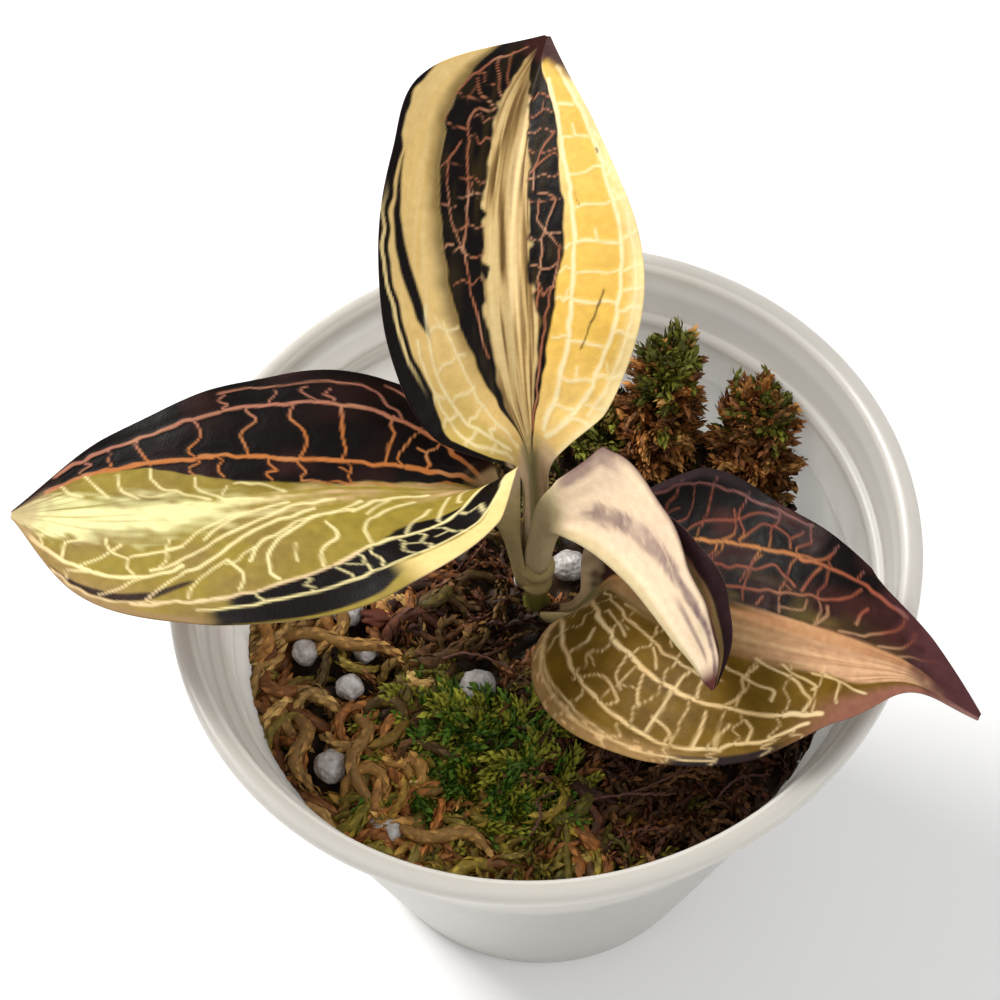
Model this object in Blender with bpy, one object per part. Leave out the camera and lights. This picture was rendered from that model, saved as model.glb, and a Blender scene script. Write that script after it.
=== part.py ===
"""A jewel orchid in its small clear pot: four leaves on a short stem, standing in a bed of moss.

Millimetres below are turned to metres where a mesh is made. +Z is up, the pot's underside is at z = 0
and its axis is x = y = 0.
"""

import math
import random

import bmesh
import bpy
import numpy as np

MM = 0.001

# Pot: radii are at its outside.
POT_HEIGHT = 75.0
RIM_RADIUS = 45.0
BASE_RADIUS = 26.2
WALL = 0.9
STEP_Z = 66.0
OVAL = 0.03
OVAL_ANGLE = 0.8

# Moss bed
MOSS_TOP = 53.6
GAP = 0.3
HOLE_RADIUS = 2.0
HOLE_FLOOR = 40.0
GREEN_CENTRE = (-5.2, -21.6)
GREEN_RADIUS = 8.8
GREEN_FLOOR = 52.9

# Stem
STEM_FOOT = (-1.2, 2.9)
STEM_TOP = (-1.0, 3.1)
STEM_RADIUS = 1.6

# Leaf blade
BLADE = 0.7
RIB_HEIGHT = 0.22
WAVE = 0.3
RIBS = (0.0, 0.38, 0.72)
COLUMNS = (0.0, 0.07, 0.3, 0.38, 0.46, 0.64, 0.72, 0.8, 1.0)
PETIOLE_ROWS = 5
BLADE_ROWS = 18

# Nine evenly spaced stations from the stem to the tip. left and right are half widths, fold and curl
# are (left, right) angles in degrees, sweep draws the margins back towards the stem.
LEAVES = {
    "leaf_top": {
        "midrib": [(-1.2, 6.9, 61), (-1.4, 6.8, 72), (-2.0, 8.5, 82), (-3.0, 13.0, 87),
                   (-3.8, 19.5, 91.5), (-4.2, 27.0, 95), (-3.8, 35.5, 98), (-2.2, 44.5, 101), (0.5, 53.5, 104)],
        "left": [1.9, 1.9, 3.0, 11.5, 16.0, 17.0, 15.6, 12.0, 0.4],
        "right": [1.9, 1.9, 2.8, 9.5, 14.6, 15.8, 13.2, 8.2, 0.4],
        "roll": [0, 0, 0, 2, 4, 4, 2, 0, 0],
        "fold": [(8, 8), (10, 10), (20, 20), (14, 14), (12, 10), (12, 10), (12, 12), (14, 14), (20, 20)],
        "curl": [(60, 60), (60, 60), (40, 40), (10, 0), (25, 0), (35, 0), (35, 0), (25, 0), (10, 10)],
        "sweep": [0, 0, 1.5, 3.5, 2.0, 1.0, 0, 0, 0],
    },
    "leaf_left": {
        "midrib": [(-5.0, 3.0, 60), (-5.4, 3.6, 72), (-8.0, 3.5, 80), (-15.5, 2.5, 83.5),
                   (-23.5, 1.5, 85.5), (-32.0, 0.0, 86.5), (-41.0, -1.0, 86.5), (-51.5, -1.5, 85.5), (-62.0, -1.0, 83.5)],
        "left": [1.9, 1.9, 3.2, 13.5, 17.0, 17.7, 16.4, 12.5, 0.4],
        "right": [1.9, 1.9, 2.8, 10.0, 13.8, 14.5, 12.5, 8.3, 0.4],
        "roll": [0, 0, 0, 0, 0, 0, 0, 0, 0],
        "fold": [(8, 8), (10, 10), (25, 25), (10, 14), (6, 12), (3, 10), (3, 10), (5, 12), (15, 15)],
        "curl": [(60, 60), (60, 60), (70, 40), (60, 0), (15, 0), (0, 0), (0, 0), (0, 0), (10, 10)],
        "sweep": [0, 0, 1.5, 5.5, 3.5, 1.0, 0, 0, 0],
    },
    "leaf_right": {
        "midrib": [(2.6, 2.4, 55.8), (4.0, 1.4, 63), (8.0, -2.5, 69), (13.5, -7.5, 74),
                   (20.0, -12.5, 78), (26.5, -16.0, 80), (33.5, -18.5, 80.5), (40.5, -20.5, 80), (48.0, -24.5, 77.0)],
        "left": [1.9, 1.9, 8.5, 17.5, 16.5, 14.5, 11.0, 5.0, 0.4],
        "right": [1.9, 1.9, 5.5, 17.5, 19.2, 15.8, 8.5, 2.6, 0.4],
        "roll": [0, 0, 0, 0, 0, 0, 0, 0, 0],
        "fold": [(8, 8), (10, 10), (25, 5), (16, 0), (12, 0), (10, 0), (10, 0), (10, 0), (15, 10)],
        "curl": [(60, 60), (60, 60), (20, 0), (0, -20), (0, -25), (0, -20), (0, -10), (0, 0), (10, 10)],
        "sweep": [0, 0, 2.5, 5.5, 3.0, 1.0, 0, 0, 0],
    },
    "leaf_young": {
        "midrib": [(-1.0, 2.2, 67), (0.2, 1.0, 76), (2.2, -2.5, 81), (5.5, -7.0, 84),
                   (9.0, -12.0, 86), (11.5, -16.0, 86.5), (13.8, -19.4, 86), (16.0, -21.9, 85), (17.7, -23.9, 83.5)],
        "left": [1.7, 2.2, 4.0, 7.0, 8.6, 8.6, 7.4, 4.6, 0.4],
        "right": [1.7, 4.0, 12.0, 12.5, 9.5, 7.4, 5.6, 3.2, 0.4],
        "roll": [0, 0, 0, 0, 0, 0, 0, 0, 0],
        "fold": [(10, 10), (30, 60), (40, 110), (40, 130), (36, 132), (32, 132), (28, 128), (25, 120), (30, 90)],
        "curl": [(70, 70), (40, 20), (10, -20), (5, -20), (5, -20), (5, -20), (5, -10), (5, 0), (10, 10)],
        "sweep": [0, 0, 0, 0, 0, 0, 0, 0, 0],
    },
}

# Perlite beads: centre on the bed and radii along x, y and z.
BEADS = {
    "bead_1": ((3.4, 8.3), (2.5, 2.1, 1.8)),
    "bead_2": ((-8.5, -9.2), (2.4, 2.4, 2.2)),
    "bead_3": ((-30.3, -4.0), (1.8, 1.8, 1.7)),
    "bead_4": ((-25.1, 1.7), (2.0, 1.9, 1.8)),
    "bead_5": ((-22.8, -4.0), (1.5, 1.5, 1.4)),
    "bead_6": ((-24.6, -9.0), (1.8, 1.7, 1.7)),
    "bead_7": ((-26.4, -19.8), (2.3, 2.1, 2.0)),
    "bead_8": ((-19.6, -28.0), (2.2, 1.9, 1.2)),
}
BEAD_Z = 54.4


def clear_scene():
    for obj in list(bpy.data.objects):
        bpy.data.objects.remove(obj)


def mesh_object(name, points, faces, collection=None):
    """An object from points in millimetres."""
    mesh = bpy.data.meshes.new(name)
    mesh.from_pydata([tuple(p * MM for p in point) for point in points], [], faces)
    mesh.validate()
    mesh.update()
    obj = bpy.data.objects.new(name, mesh)
    (collection or bpy.context.scene.collection).objects.link(obj)
    return obj


def oval(points):
    """The pot is a soft cup, pressed a little out of round towards its rim."""
    p = np.array(points, float)
    along = np.array([math.cos(OVAL_ANGLE), math.sin(OVAL_ANGLE)])
    across = np.array([-along[1], along[0]])
    k = OVAL * p[:, 2] / POT_HEIGHT
    u, v = p[:, :2] @ along * (1 + k), p[:, :2] @ across * (1 - k)
    p[:, :2] = u[:, None] * along + v[:, None] * across
    return p


def lathe(profile, segments):
    """Points and faces of a closed profile, from the axis back to the axis, turned about z."""
    points, faces = [(0, 0, profile[0][1])], []
    for radius, z in profile[1:-1]:
        for i in range(segments):
            angle = 2 * math.pi * i / segments
            points.append((radius * math.cos(angle), radius * math.sin(angle), z))
    points.append((0, 0, profile[-1][1]))
    rings = len(profile) - 2
    last = len(points) - 1
    for i in range(segments):
        j = (i + 1) % segments
        faces.append((0, 1 + j, 1 + i))
        for r in range(rings - 1):
            a, b = 1 + r * segments, 1 + (r + 1) * segments
            faces += [(a + i, a + j, b + j), (a + i, b + j, b + i)]
        a = 1 + (rings - 1) * segments
        faces.append((a + i, a + j, last))
    return points, faces


def wall_radius(z):
    """Outside radius of the pot's plain wall at height z."""
    return BASE_RADIUS + (RIM_RADIUS - 3.6 - BASE_RADIUS) * z / STEP_Z


def make_pot():
    seat = RIM_RADIUS - 2.1
    profile = [
        (0, 0), (BASE_RADIUS - 1.0, 0), (BASE_RADIUS + 0.1, 0.9),
        (wall_radius(32), 32), (wall_radius(33), 33), (wall_radius(STEP_Z - 1), STEP_Z - 1),
        (seat - 0.3, STEP_Z + 0.4), (seat + 0.1, POT_HEIGHT - 2.4), (RIM_RADIUS - 0.5, POT_HEIGHT - 2.2),
        (RIM_RADIUS, POT_HEIGHT - 1.4), (RIM_RADIUS - 0.1, POT_HEIGHT - 0.5), (RIM_RADIUS - 0.7, POT_HEIGHT),
        (RIM_RADIUS - 1.6, POT_HEIGHT), (seat - 0.7, POT_HEIGHT - 1.0), (seat - 1.2, STEP_Z + 1.4),
        (wall_radius(STEP_Z) - WALL - 0.1, STEP_Z + 0.2), (wall_radius(33) - WALL, 33), (wall_radius(32) - WALL, 32),
        (BASE_RADIUS - WALL, 2.2), (BASE_RADIUS - WALL - 1.2, 1.1), (0, 1.1),
    ]
    points, faces = lathe(profile, 52)
    return mesh_object("pot", oval(points), faces)


def bed_height(x, y):
    """Height of the moss: soft hollows and humps, lower against the wall."""
    humps = 0.7 * math.sin(0.31 * x + 1.1) * math.cos(0.27 * y - 0.4) + 0.45 * math.sin(0.62 * x - 0.5 * y)
    return MOSS_TOP + humps - 1.1 * (math.hypot(x, y) / 37) ** 4


def moss_bed_body():
    """The bed fills the pot and has a plain hole for the stem, about which its rings are drawn."""
    segments, rings = 32, 7
    bottom, points = 1.1 + GAP, []
    cx, cy = STEM_FOOT
    edge = wall_radius(MOSS_TOP - 1.4) - WALL - GAP
    profile = [(HOLE_RADIUS, HOLE_FLOOR), (HOLE_RADIUS, MOSS_TOP - 0.5)]
    points.append((cx, cy, HOLE_FLOOR))
    for radius, z in profile:
        for i in range(segments):
            angle = 2 * math.pi * i / segments
            points.append((cx + radius * math.cos(angle), cy + radius * math.sin(angle), z))
    for ring in range(1, rings + 1):
        f = ring / rings
        for i in range(segments):
            angle = 2 * math.pi * i / segments
            inner = (cx + HOLE_RADIUS * math.cos(angle), cy + HOLE_RADIUS * math.sin(angle))
            outer = (edge * math.cos(angle), edge * math.sin(angle))
            x, y = (a + (b - a) * f for a, b in zip(inner, outer))
            points.append((x, y, bed_height(x, y)))
    foot = wall_radius(bottom) - WALL - 1.3
    for radius, z in ((BASE_RADIUS - WALL - GAP, 3.0), (foot, bottom)):
        for i in range(segments):
            angle = 2 * math.pi * i / segments
            points.append((radius * math.cos(angle), radius * math.sin(angle), z))
    points.append((0, 0, bottom))
    faces, last, count = [], len(points) - 1, rings + 4
    for i in range(segments):
        j = (i + 1) % segments
        faces.append((0, 1 + i, 1 + j))
        for r in range(count - 1):
            a, b = 1 + r * segments, 1 + (r + 1) * segments
            faces += [(a + i, b + j, a + j), (a + i, b + i, b + j)]
        a = 1 + (count - 1) * segments
        faces.append((a + i, last, a + j))
    return oval(points), faces


def tube(path, radii, sides=5):
    """Points and faces of a closed tapering tube along a path."""
    path = np.array(path, float)
    points, faces, n = [], [], len(path)
    normal = None
    for i, (centre, radius) in enumerate(zip(path, radii)):
        along = path[min(i + 1, n - 1)] - path[max(i - 1, 0)]
        along /= np.linalg.norm(along)
        if normal is None:
            normal = np.cross(along, (0.31, 0.87, 0.38))
        normal = normal - along * (normal @ along)
        normal /= np.linalg.norm(normal)
        across = np.cross(along, normal)
        for k in range(sides):
            angle = 2 * math.pi * k / sides
            points.append(centre + radius * (normal * math.cos(angle) + across * math.sin(angle)))
    for i in range(n - 1):
        for k in range(sides):
            m = (k + 1) % sides
            a, b = i * sides, (i + 1) * sides
            faces += [(a + k, a + m, b + m), (a + k, b + m, b + k)]
    faces.append(tuple(range(sides - 1, -1, -1)))
    faces.append(tuple(range((n - 1) * sides, n * sides)))
    return points, faces


def arch(x, y, heading, length, rise, bend):
    """A strand that leaves the bed, arches over and goes back in."""
    path = []
    for i in range(6):
        f = i / 5
        turn = heading + bend * (f - 0.5)
        path.append([x + length * (f - 0.5) * math.cos(turn), y + length * (f - 0.5) * math.sin(turn), 0])
        path[-1][2] = bed_height(*path[-1][:2]) - 1.3 + (rise + 1.3) * math.sin(math.pi * f)
    return path


def sprig(x, y, z, lean, heading, height, wander):
    """An upright strand whose tip leans over."""
    path = []
    for i in range(5):
        f = i / 4
        side = lean * f ** 1.7
        path.append((x + side * math.cos(heading) + wander * math.sin(4 * f),
                     y + side * math.sin(heading) + wander * math.cos(3 * f), z + height * f))
    return path


def near(x, y, spots):
    return any(math.hypot(x - sx, y - sy) < reach for sx, sy, reach in spots)


def bed_strands(rng):
    """Arching strands all over the bed, clear of the beads, the stem and the green head."""
    keep_off = [(x, y, max(size) + 2.2) for (x, y), size in BEADS.values()]
    keep_off += [(*GREEN_CENTRE, GREEN_RADIUS + 4.2), (*STEM_FOOT, 7.0)]
    strands = []
    while len(strands) < 26:
        angle, distance = rng.uniform(0, 2 * math.pi), 31.5 * math.sqrt(rng.uniform(0.02, 1))
        x, y = distance * math.cos(angle), distance * math.sin(angle)
        if near(x, y, keep_off):
            continue
        keep_off.append((x, y, 3.6))
        thick = 1.0 if x < 0 else 0.7
        heading = angle + math.pi / 2 + rng.uniform(-0.7, 0.7)
        path = arch(x, y, heading, rng.uniform(5.5, 8), rng.uniform(0.6, 1.5), rng.uniform(-0.9, 0.9))
        strands.append((path, [thick] * 6))
    return strands


def tuft_strands(rng, foot, top, count, spread):
    """A tuft of upright strands between two points."""
    strands = []
    for i in range(count):
        f = i / (count - 1) - 0.5
        x = foot[0] + 2 * spread * f * 0.8
        y = foot[1] - 1.4 * spread * abs(f) + rng.uniform(-0.8, 0.8)
        height = (top[2] - foot[2]) * (1 - 0.55 * abs(2 * f) ** 1.5) * rng.uniform(0.86, 1)
        heading = math.atan2(top[1] - foot[1], top[0] - foot[0]) - 1.1 * f
        path = sprig(x, y, foot[2] - 2.4, rng.uniform(3.0, 4.6), heading, height + 2.4, rng.uniform(-0.3, 0.3))
        strands.append((path, [1.5, 1.5, 1.2, 0.9, 0.5]))
    return strands


def collected(name, solids):
    """A hidden collection of solids for a Boolean."""
    group = bpy.data.collections.new(name)
    bpy.context.scene.collection.children.link(group)
    for i, (points, faces) in enumerate(solids):
        mesh_object(f"{name}_{i}", points, faces, group)
    return group


def combine(obj, group, operation):
    """Applies a Boolean with every object of the group, then removes them."""
    modifier = obj.modifiers.new(operation.lower(), "BOOLEAN")
    modifier.operation = operation
    modifier.operand_type = "COLLECTION"
    modifier.collection = group
    modifier.solver = "MANIFOLD"
    graph = bpy.context.evaluated_depsgraph_get()
    result = bpy.data.meshes.new_from_object(obj.evaluated_get(graph))
    obj.modifiers.clear()
    obj.data = result
    for other in list(group.objects):
        bpy.data.objects.remove(other)
    bpy.data.collections.remove(group)


def tidy(obj, near_mm):
    """Joins points closer than near_mm, which a Boolean leaves, and splits every face into triangles."""
    bm = bmesh.new()
    bm.from_mesh(obj.data)
    bmesh.ops.triangulate(bm, faces=bm.faces)
    bmesh.ops.remove_doubles(bm, verts=bm.verts, dist=near_mm * MM)
    bmesh.ops.dissolve_degenerate(bm, edges=bm.edges, dist=1e-7)
    bmesh.ops.triangulate(bm, faces=bm.faces)
    bm.to_mesh(obj.data)
    bm.free()


def bead_solid(centre, size, grow):
    """A slightly lumpy ball. grow makes it larger all round."""
    bm = bmesh.new()
    bmesh.ops.create_icosphere(bm, subdivisions=2, radius=1)
    points = []
    for v in bm.verts:
        x, y, z = v.co
        lump = 1 + 0.06 * math.sin(5 * x + centre[0]) * math.cos(4 * y + centre[1])
        points.append([c + u * (s * lump + grow) for c, u, s in zip((*centre, BEAD_Z), (x, y, z), size)])
    faces = [tuple(v.index for v in f.verts) for f in bm.faces]
    bm.free()
    return points, faces


def make_moss_bed(rng):
    bed = mesh_object("moss_bed", *moss_bed_body())
    strands = bed_strands(rng)
    strands += tuft_strands(rng, (14.5, 25.0, 53.5), (16.5, 34.5, 71.0), 7, 5.0)
    strands += tuft_strands(rng, (26.5, 18.5, 53.2), (28.0, 29.0, 70.0), 7, 5.0)
    combine(bed, collected("strand", [tube(path, radii) for path, radii in strands]), "UNION")
    sockets = [bead_solid(centre, size, 0.4) for centre, size in BEADS.values()]
    recess, faces = lathe([(0, GREEN_FLOOR), (GREEN_RADIUS, GREEN_FLOOR), (GREEN_RADIUS, 60), (0, 60)], 28)
    sockets.append(([(x + GREEN_CENTRE[0], y + GREEN_CENTRE[1], z) for x, y, z in recess], faces))
    combine(bed, collected("socket", sockets), "DIFFERENCE")
    tidy(bed, 0.02)
    return bed


def make_green_head(rng):
    """The green moss head at the front, a low mound with leaning sprigs, seated in its recess."""
    foot, top = GREEN_FLOOR + GAP, GREEN_FLOOR + 1.9
    radius = GREEN_RADIUS - GAP - 0.1
    profile = [(0, foot), (radius, foot), (radius, top - 0.5), (radius * 0.66, top + 0.6), (radius * 0.3, top + 1.2), (0, top + 1.2)]
    points, faces = lathe(profile, 20)
    points = [(x + GREEN_CENTRE[0], y + GREEN_CENTRE[1], z) for x, y, z in points]
    head = mesh_object("moss_green", points, faces)
    strands = []
    for i in range(15):
        angle = 2.4 * i
        distance = radius * 0.8 * math.sqrt((i + 0.5) / 15)
        x, y = GREEN_CENTRE[0] + distance * math.cos(angle), GREEN_CENTRE[1] + distance * math.sin(angle)
        path = sprig(x, y, top - 0.9, rng.uniform(1.2, 2.6), angle + rng.uniform(-0.5, 0.5), rng.uniform(3.2, 4.6), 0.15)
        strands.append(tube(path, [0.9, 0.9, 0.8, 0.6, 0.35]))
    combine(head, collected("green", strands), "UNION")
    tidy(head, 0.02)
    return head


def make_stem():
    """The stem stands in the bed's hole. It thickens at its nodes, where the leaves begin."""
    heights = [HOLE_FLOOR + 0.4, HOLE_FLOOR + 1.4, 50.0, 53.0, 54.2, 55.4, 58.5, 59.6, 60.8, 63.4, 64.6, 66.0, 66.5]
    radii = [0.9, 1.5, 1.6, 1.6, 1.9, 1.6, 1.55, 1.95, 1.6, 1.6, 2.0, 1.6, 0.9]
    path = []
    for z in heights:
        f = (z - heights[0]) / (heights[-1] - heights[0])
        path.append([a + (b - a) * f for a, b in zip(STEM_FOOT, STEM_TOP)] + [z])
    return mesh_object("stem", *tube(path, radii, 14))


def smooth_path(points, t):
    """Values at t, from 0 to 1, on a smooth curve through evenly spaced points."""
    p = np.array(points, float).reshape(len(points), -1)
    p = np.vstack([2 * p[0] - p[1], p, 2 * p[-1] - p[-2]])
    x = np.clip(t, 0, 1) * (len(p) - 3)
    i = np.minimum(x.astype(int), len(p) - 4)
    f = (x - i)[:, None]
    a, b, c, d = p[i], p[i + 1], p[i + 2], p[i + 3]
    return 0.5 * (2 * b + (c - a) * f + (2 * a - 5 * b + 4 * c - d) * f**2 + (3 * b - a - 3 * c + d) * f**3)


def unit(vectors):
    return vectors / np.linalg.norm(vectors, axis=-1, keepdims=True)


def leaf_points(leaf, t, s):
    """Points of the blade's upper face: t along the midrib, s from -1, the left margin, to 1."""
    right = s >= 0
    sign, a = np.where(right, 1.0, -1.0), np.abs(s)
    middle = smooth_path(leaf["midrib"], t)
    along = unit(smooth_path(leaf["midrib"], t + 1e-3) - smooth_path(leaf["midrib"], t - 1e-3))
    side = unit(np.cross(along, (0, 0, 1)))
    normal = np.cross(side, along)
    roll = np.radians(smooth_path(leaf["roll"], t))
    side, normal = side * np.cos(roll) + normal * np.sin(roll), normal * np.cos(roll) - side * np.sin(roll)

    def of_side(pairs):
        return np.where(right, *(smooth_path([pair[k] for pair in pairs], t)[:, 0] for k in (1, 0)))

    width = np.maximum(of_side(list(zip(leaf["left"], leaf["right"]))), 0.35)
    fold, curl = np.radians(of_side(leaf["fold"])), np.radians(of_side(leaf["curl"]))
    curl = np.where(np.abs(curl) < 1e-3, 1e-3, curl)
    across = width * (np.sin(fold + curl * a) - np.sin(fold)) / curl
    rise = width * (np.cos(fold) - np.cos(fold + curl * a)) / curl
    rise = rise + WAVE * np.sin(34 * t + 2 * sign) * a**3 * np.clip((t - 0.3) * 8, 0, 1) * np.clip((1 - t) * 8, 0, 1)
    back = smooth_path(leaf["sweep"], t)[:, 0] * a**1.6
    return middle + side * (sign * across)[:, None] + normal * rise[:, None] - along * back[:, None]


def make_leaf(name, leaf):
    """A blade with a channelled stalk, raised ribs on its upper face and both faces split alike."""
    stalk = np.linspace(0, 0.22, PETIOLE_ROWS, endpoint=False)
    blade = 0.22 + 0.78 * np.linspace(0, 1, BLADE_ROWS)
    rows = np.concatenate([stalk, blade])
    columns = np.array([-c for c in COLUMNS[:0:-1]] + list(COLUMNS))
    shape = (len(rows), len(columns))
    t, s = (grid.ravel() for grid in np.meshgrid(rows, columns, indexing="ij"))
    top = leaf_points(leaf, t, s)
    step = 2e-3
    along = leaf_points(leaf, np.minimum(t + step, 1), s) - leaf_points(leaf, np.maximum(t - step, 0), s)
    inward = np.where(s >= 0, -step, step)
    across = (leaf_points(leaf, t, s + inward) - top) * np.sign(inward)[:, None]
    normal = unit(np.cross(across, along))
    bottom = top - BLADE * normal
    on_rib = np.isin(np.round(np.abs(s), 3), np.round(RIBS, 3)) & (t > 0.24) & (t < 0.97)
    top = top + RIB_HEIGHT * on_rib[:, None] * normal
    points = np.vstack([top, bottom])
    rows_n, columns_n = shape
    below = rows_n * columns_n
    faces, edge = [], []
    for r in range(rows_n - 1):
        for c in range(columns_n - 1):
            a = r * columns_n + c
            b, d, e = a + 1, a + columns_n, a + columns_n + 1
            faces += [(a, b, e), (a, e, d), (below + a, below + e, below + b), (below + a, below + d, below + e)]
    edge += [c for c in range(columns_n)]
    edge += [r * columns_n + columns_n - 1 for r in range(1, rows_n)]
    edge += [(rows_n - 1) * columns_n + c for c in range(columns_n - 2, -1, -1)]
    edge += [r * columns_n for r in range(rows_n - 2, 0, -1)]
    for a, b in zip(edge, edge[1:] + edge[:1]):
        faces += [(a, below + a, below + b), (a, below + b, b)]
    return mesh_object(name, points, faces)


def make_beads():
    for name, (centre, size) in BEADS.items():
        mesh_object(name, *bead_solid(centre, size, 0))


def main():
    clear_scene()
    rng = random.Random(11)
    make_pot()
    make_moss_bed(rng)
    make_green_head(rng)
    make_stem()
    make_beads()
    for name, leaf in LEAVES.items():
        make_leaf(name, leaf)


main()
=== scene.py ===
"""Looks for the potted jewel orchid: painted and veined leaves, moss, perlite and a milky cup.

Lengths are in millimetres until a mesh is made. Leaf markings are drawn on two coordinates: t runs
along the midrib from the stem (0) to the tip (1), s across the blade from the left margin (-1) to
the right one (1).
"""

import math
import random
from functools import cache

import bmesh
import bpy
import mathutils
import numpy as np
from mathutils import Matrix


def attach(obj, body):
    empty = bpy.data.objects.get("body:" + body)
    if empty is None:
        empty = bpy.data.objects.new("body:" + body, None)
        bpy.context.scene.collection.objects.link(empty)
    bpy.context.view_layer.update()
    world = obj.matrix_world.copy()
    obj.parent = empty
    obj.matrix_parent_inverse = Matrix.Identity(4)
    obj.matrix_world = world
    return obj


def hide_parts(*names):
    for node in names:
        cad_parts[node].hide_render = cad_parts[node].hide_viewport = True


MM = 0.001

# Camera, worked out from the outline of the cup's rim, wall and foot.
CAMERA_PLACE = (-5.6, -126.4, 290.6)
CAMERA_TILT = 58.5
CAMERA_ROLL = -0.4
CAMERA_LENS = 75.56

# Studio: the floor's side in millimetres, the light's aim in metres.
FLOOR_SIZE = 6000
SKY_STRENGTH = 0.58
LIGHT_AIM = (0, 0, 0.06)

# Cup
POT_HEIGHT = 75.0
RIM_RADIUS = 45.0
BASE_RADIUS = 26.2
WALL = 0.9
STEP_Z = 66.0
SEAT_RADIUS = RIM_RADIUS - 2.1
OVAL = 0.03
OVAL_ANGLE = 0.8
CUP_SEGMENTS = 200
# One milky plastic in two tones: painted shade on the outer faces and lip, painted light on the inner
# faces.
CUP_OUTSIDE_SHADED = (0.44, 0.42, 0.385)
CUP_INSIDE_LIT = (0.56, 0.54, 0.50)
LINE_HEIGHT = 0.2
LINE_WIDTH = 0.42
# Faint raised lines on the wall: (angle in degrees, height) at both ends.
WALL_LINES = [
    ((26, 64), (14, 58)), ((12, 64), (3, 58)), ((52, 64), (44, 57)),
    ((190, 64), (208, 56)), ((212, 64), (222, 57)), ((150, 64), (160, 58)),
    ((248, 60), (256, 40)), ((262, 58), (254, 38)), ((286, 60), (279, 42)), ((296, 58), (304, 40)),
    ((120, 60), (130, 40)), ((60, 60), (70, 40)), ((0, 60), (10, 40)), ((180, 60), (188, 40)),
]

# Moss
MOSS_TOP = 53.6
MOSS_EDGE = 36.6
SOIL_SEGMENTS = 160
SOIL_RINGS = 60
SOIL_COLOUR = (0.055, 0.028, 0.010)
SKIRT_COLOUR = (0.12, 0.07, 0.03)
GREEN_TIP = (0.15, 0.16, 0.016)
ROOT_COLOUR = (0.17, 0.075, 0.055)
ROPE_COLOUR = (0.44, 0.24, 0.065)
BARK_COLOUR = (0.12, 0.026, 0.010)

# Leaf blades
BLADE_THICKNESS = 0.42
EDGE_THICKNESS = 0.14
LEAF_ROWS = 240
LEAF_COLUMNS = 156
WAVE = 0.3
PILLOW_HEIGHT = 0.096
RIDGE_HEIGHT = 0.07
TROUGH_DEPTH = 0.35
KEEL = [(0, 0.9), (0.25, 1.2), (0.5, 0.7), (0.8, 0.3), (1, 0)]

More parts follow.
